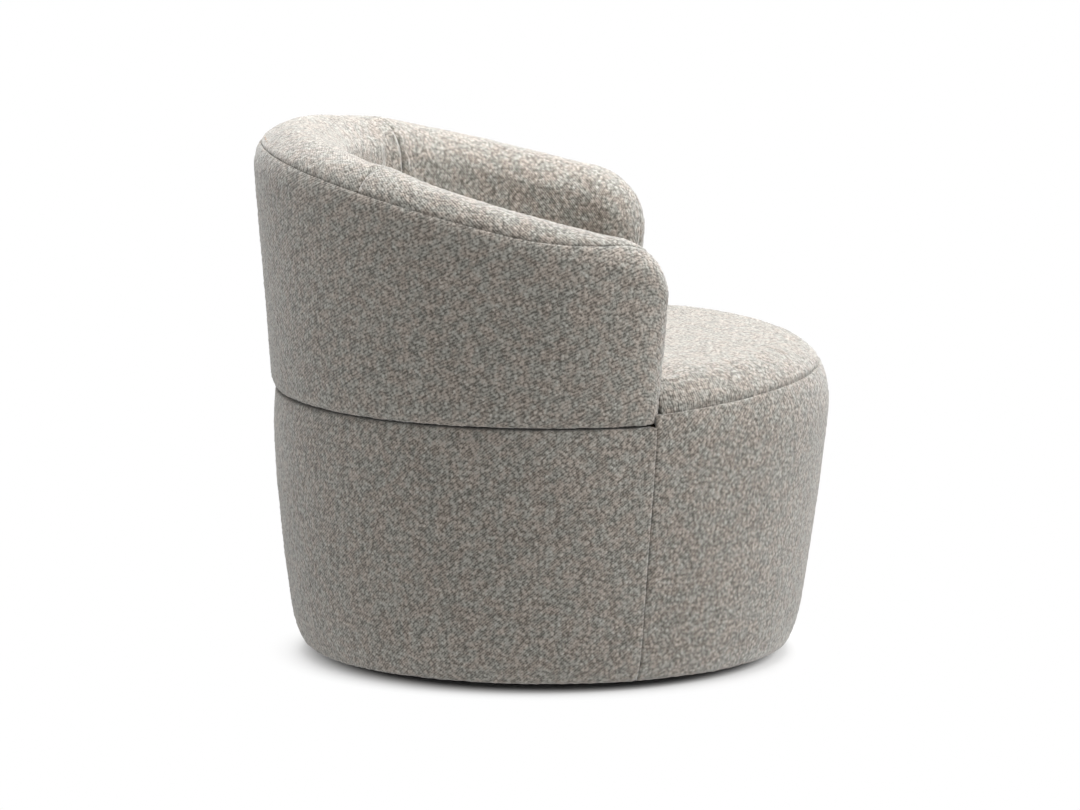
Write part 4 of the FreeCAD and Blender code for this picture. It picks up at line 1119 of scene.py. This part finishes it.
# %% Timber, steel, rubber and the rest
FINISHES = {
    "plywood": plain_material(
        "birch_ply", dark=(0.45, 0.30, 0.16), light=(0.62, 0.46, 0.28), stretch=(1, 1, 14), scale=30,
        rough=0.6, relief=0.2, depth=0.0004),
    "fibreboard": plain_material(
        "fibreboard", dark=(0.20, 0.12, 0.07), light=(0.30, 0.19, 0.11), scale=300,
        rough=0.75, relief=0.2, depth=0.0002),
    "zinc": plain_material(
        "zinc_steel", dark=(0.45, 0.46, 0.47), light=(0.60, 0.61, 0.62), scale=90,
        rough=0.35, metal=1, relief=0.05, depth=0.0001),
    "balls": plain_material(
        "ball_steel", dark=(0.60, 0.60, 0.61), light=(0.70, 0.70, 0.71), scale=200,
        rough=0.12, metal=1, relief=0.02, depth=0.0001),
    "paint": plain_material(
        "black_paint", dark=(0.010, 0.010, 0.011), light=(0.020, 0.020, 0.021), scale=500,
        rough=0.5, relief=0.2, depth=0.0001),
    "rubber": plain_material(
        "floor_rubber", dark=(0.012, 0.012, 0.012), light=(0.028, 0.028, 0.027), scale=400,
        rough=0.8, relief=0.3, depth=0.0002),
    "plastic": plain_material(
        "cage_nylon", dark=(0.55, 0.54, 0.50), light=(0.66, 0.65, 0.61), scale=250,
        rough=0.45, relief=0.05, depth=0.0001),
    "lining": plain_material(
        "black_lining", dark=(0.012, 0.012, 0.013), light=(0.035, 0.035, 0.036), scale=900,
        rough=0.9, relief=0.5, depth=0.0003),
    "webbing": plain_material(
        "elastic_web", dark=(0.06, 0.06, 0.065), light=(0.13, 0.13, 0.135), scale=700,
        rough=0.85, relief=0.4, depth=0.0003),
}
FINISH_OF = {
    "floor_pad": "rubber", "base_plate": "paint", "turntable_lower": "zinc", "turntable_upper": "zinc",
    "pivot_pin": "zinc", "bearing_balls": "balls", "ball_cage": "plastic", "lower_screws": "zinc",
    "upper_screws": "zinc", "shell_bolts": "zinc", "shell_nuts": "zinc", "side_wrap": "fibreboard",
    "back_outer_skin": "fibreboard", "back_inner_skin": "fibreboard", "dust_cover": "lining",
}
finished = []
for name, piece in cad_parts.items():
    word = FINISH_OF.get(name, "webbing" if "strap" in name else "plywood")
    piece.data.materials.clear()
    piece.data.materials.append(FINISHES[word])
    finished.append(word)
print("pieces of each finish:", {word: finished.count(word) for word in FINISHES})

# %% [markdown]
# The stage is a pale floor in a white surround. A studio floor lit to white keeps only the shade under
# the chair. Stronger lamps would give that too, but would wash out the wool. So the floor is a plain
# pale one near the foot, where it takes the shade, and glows evenly white further out.

# %% Floor
SHADE_FROM = 0.285
SHADE_TO = 0.385
FLOOR_REACH = 60.0
PALE = (0.85, 0.85, 0.85, 1)
BLACK = (0, 0, 0, 1)
WHITE = (1, 1, 1, 1)


def floor_group():
    """Pale near the chair's foot, and lit evenly white further out."""
    tree, given, made = new_group(
        "lit_floor", [], [("Colour", "NodeSocketColor"), ("Lit", "NodeSocketColor")])
    parts = tree.nodes.new("ShaderNodeSeparateXYZ")
    tree.links.new(tree.nodes.new("ShaderNodeTexCoord").outputs["Object"], parts.inputs[0])
    squares = [math_node(tree, "POWER", parts.outputs[axis], 2.0) for axis in (0, 1)]
    away = math_node(tree, "SQRT", math_node(tree, "ADD", *squares))
    share = range_node(tree, away, SHADE_FROM, SHADE_TO)
    tree.links.new(mix_colours(tree, share, PALE, BLACK), made.inputs["Colour"])
    tree.links.new(mix_colours(tree, share, BLACK, WHITE), made.inputs["Lit"])
    return tree


def make_floor():
    """A large square that belongs to the stage."""
    mesh = bpy.data.meshes.new("floor")
    corners = [(x * FLOOR_REACH, y * FLOOR_REACH, 0) for x, y in ((-1, -1), (1, -1), (1, 1), (-1, 1))]
    mesh.from_pydata(corners, [], [(0, 1, 2, 3)])
    floor = bpy.data.objects.new("floor", mesh)
    bpy.context.scene.collection.objects.link(floor)
    material, tree, shader = new_material("pale_floor")
    node = use_group(tree, floor_group())
    tree.links.new(node.outputs["Colour"], shader.inputs["Base Color"])
    tree.links.new(node.outputs["Lit"], shader.inputs["Emission Color"])
    shader.inputs["Emission Strength"].default_value = 1.0
    shader.inputs["Specular IOR Level"].default_value = 0.0
    shader.inputs["Roughness"].default_value = 1.0
    mesh.materials.append(material)


make_floor()
print("shade fades between", SHADE_FROM, "and", SHADE_TO, "m from the swivel axis")

# %% Surround
FILL_LIGHT = 0.45


def make_world():
    """White where the camera, a gloss or a glass sees it, and a weaker white fill for the chair."""
    world = bpy.data.worlds.new("surround")
    world.use_nodes = True
    tree = world.node_tree
    shade = tree.nodes["Background"]
    path = tree.nodes.new("ShaderNodeLightPath").outputs
    mirrored = math_node(tree, "MAXIMUM", path["Is Glossy Ray"], path["Is Transmission Ray"])
    seen = math_node(tree, "MAXIMUM", path["Is Camera Ray"], mirrored)
    strength = math_node(tree, "MULTIPLY_ADD", seen, 1 - FILL_LIGHT, FILL_LIGHT)
    shade.inputs["Color"].default_value = WHITE
    tree.links.new(strength, shade.inputs["Strength"])
    bpy.context.scene.world = world


make_world()
print("fill light", FILL_LIGHT)

# %% [markdown]
# The photograph is taken from the sitter's right, a little from above, with a very long lens, so that
# near and far edges look almost parallel. The camera is set by angles and a distance from a point
# inside the chair, which is easier to correct than a place and three rotations.

# %% Camera
CAMERA_AIM = (0.0, -0.012, 0.341)
CAMERA_RISE = math.radians(9.511)
CAMERA_SWING = math.radians(1.997)
CAMERA_DISTANCE = 11.690
SHIFT_LEFT = 0.0198
SHIFT_DOWN = 0.0069
LENS = 286.8
SENSOR_WIDTH = 36
VIEW_END = 100


def make_camera():
    """A camera on the chair's right, whose view is level from side to side."""
    away = np.array([-math.cos(CAMERA_RISE) * math.cos(CAMERA_SWING),
                     math.cos(CAMERA_RISE) * math.sin(CAMERA_SWING), math.sin(CAMERA_RISE)])
    right = np.cross(-away, [0, 0, 1])
    right /= np.linalg.norm(right)
    up = np.cross(right, -away)
    data = bpy.data.cameras.new("camera")
    data.sensor_width = SENSOR_WIDTH
    data.lens = LENS
    data.clip_end = VIEW_END
    camera = bpy.data.objects.new("camera", data)
    matrix = np.eye(4)
    matrix[:3, 0] = right
    matrix[:3, 1] = up
    matrix[:3, 2] = away
    matrix[:3, 3] = np.array(CAMERA_AIM) + CAMERA_DISTANCE * away - SHIFT_LEFT * right - SHIFT_DOWN * up
    camera.matrix_world = mathutils.Matrix(matrix.tolist())
    bpy.context.scene.collection.objects.link(camera)
    bpy.context.scene.camera = camera


make_camera()
print("camera", CAMERA_DISTANCE, "m away, lens", LENS, "mm")

# %% [markdown]
# The chair is lit softly from above, which makes its tops pale and its sides grey. A weaker light
# stands in front of the seat, and one on the sitter's left, behind the chair as the camera sees it.
# Large boxes of light keep the shade's edges soft. An image of a studio could light it as well, but
# lamps can be read and moved.

# %% Soft lights
LAMPS = {
    "top_light": {"place": (0.4, -0.1, 2.6), "target": (0, 0, 0.4), "wide": 2.2, "tall": 2.2, "power": 115},
    "front_light": {"place": (-0.9, -3.0, 2.2), "target": (0, 0, 0.4), "wide": 2.0, "tall": 2.0, "power": 95},
    "back_light": {"place": (2.6, 0.0, 1.9), "target": (0, 0, 0.5), "wide": 2.6, "tall": 1.6, "power": 50},
}


def soft_box(name, place, target, wide, tall, power):
    """A rectangle of light that faces its target."""
    light = bpy.data.lights.new(name, "AREA")
    light.shape = "RECTANGLE"
    light.size = wide
    light.size_y = tall
    light.energy = power
    lamp = bpy.data.objects.new(name, light)
    lamp.location = place
    way = np.array(target, float) - np.array(place, float)
    lamp.rotation_euler = mathutils.Vector(way).to_track_quat("-Z", "Y").to_euler()
    bpy.context.scene.collection.objects.link(lamp)


for name, lamp in LAMPS.items():
    soft_box(name, **lamp)
bpy.context.scene.view_settings.view_transform = "Standard"
print(len(LAMPS), "lamps")
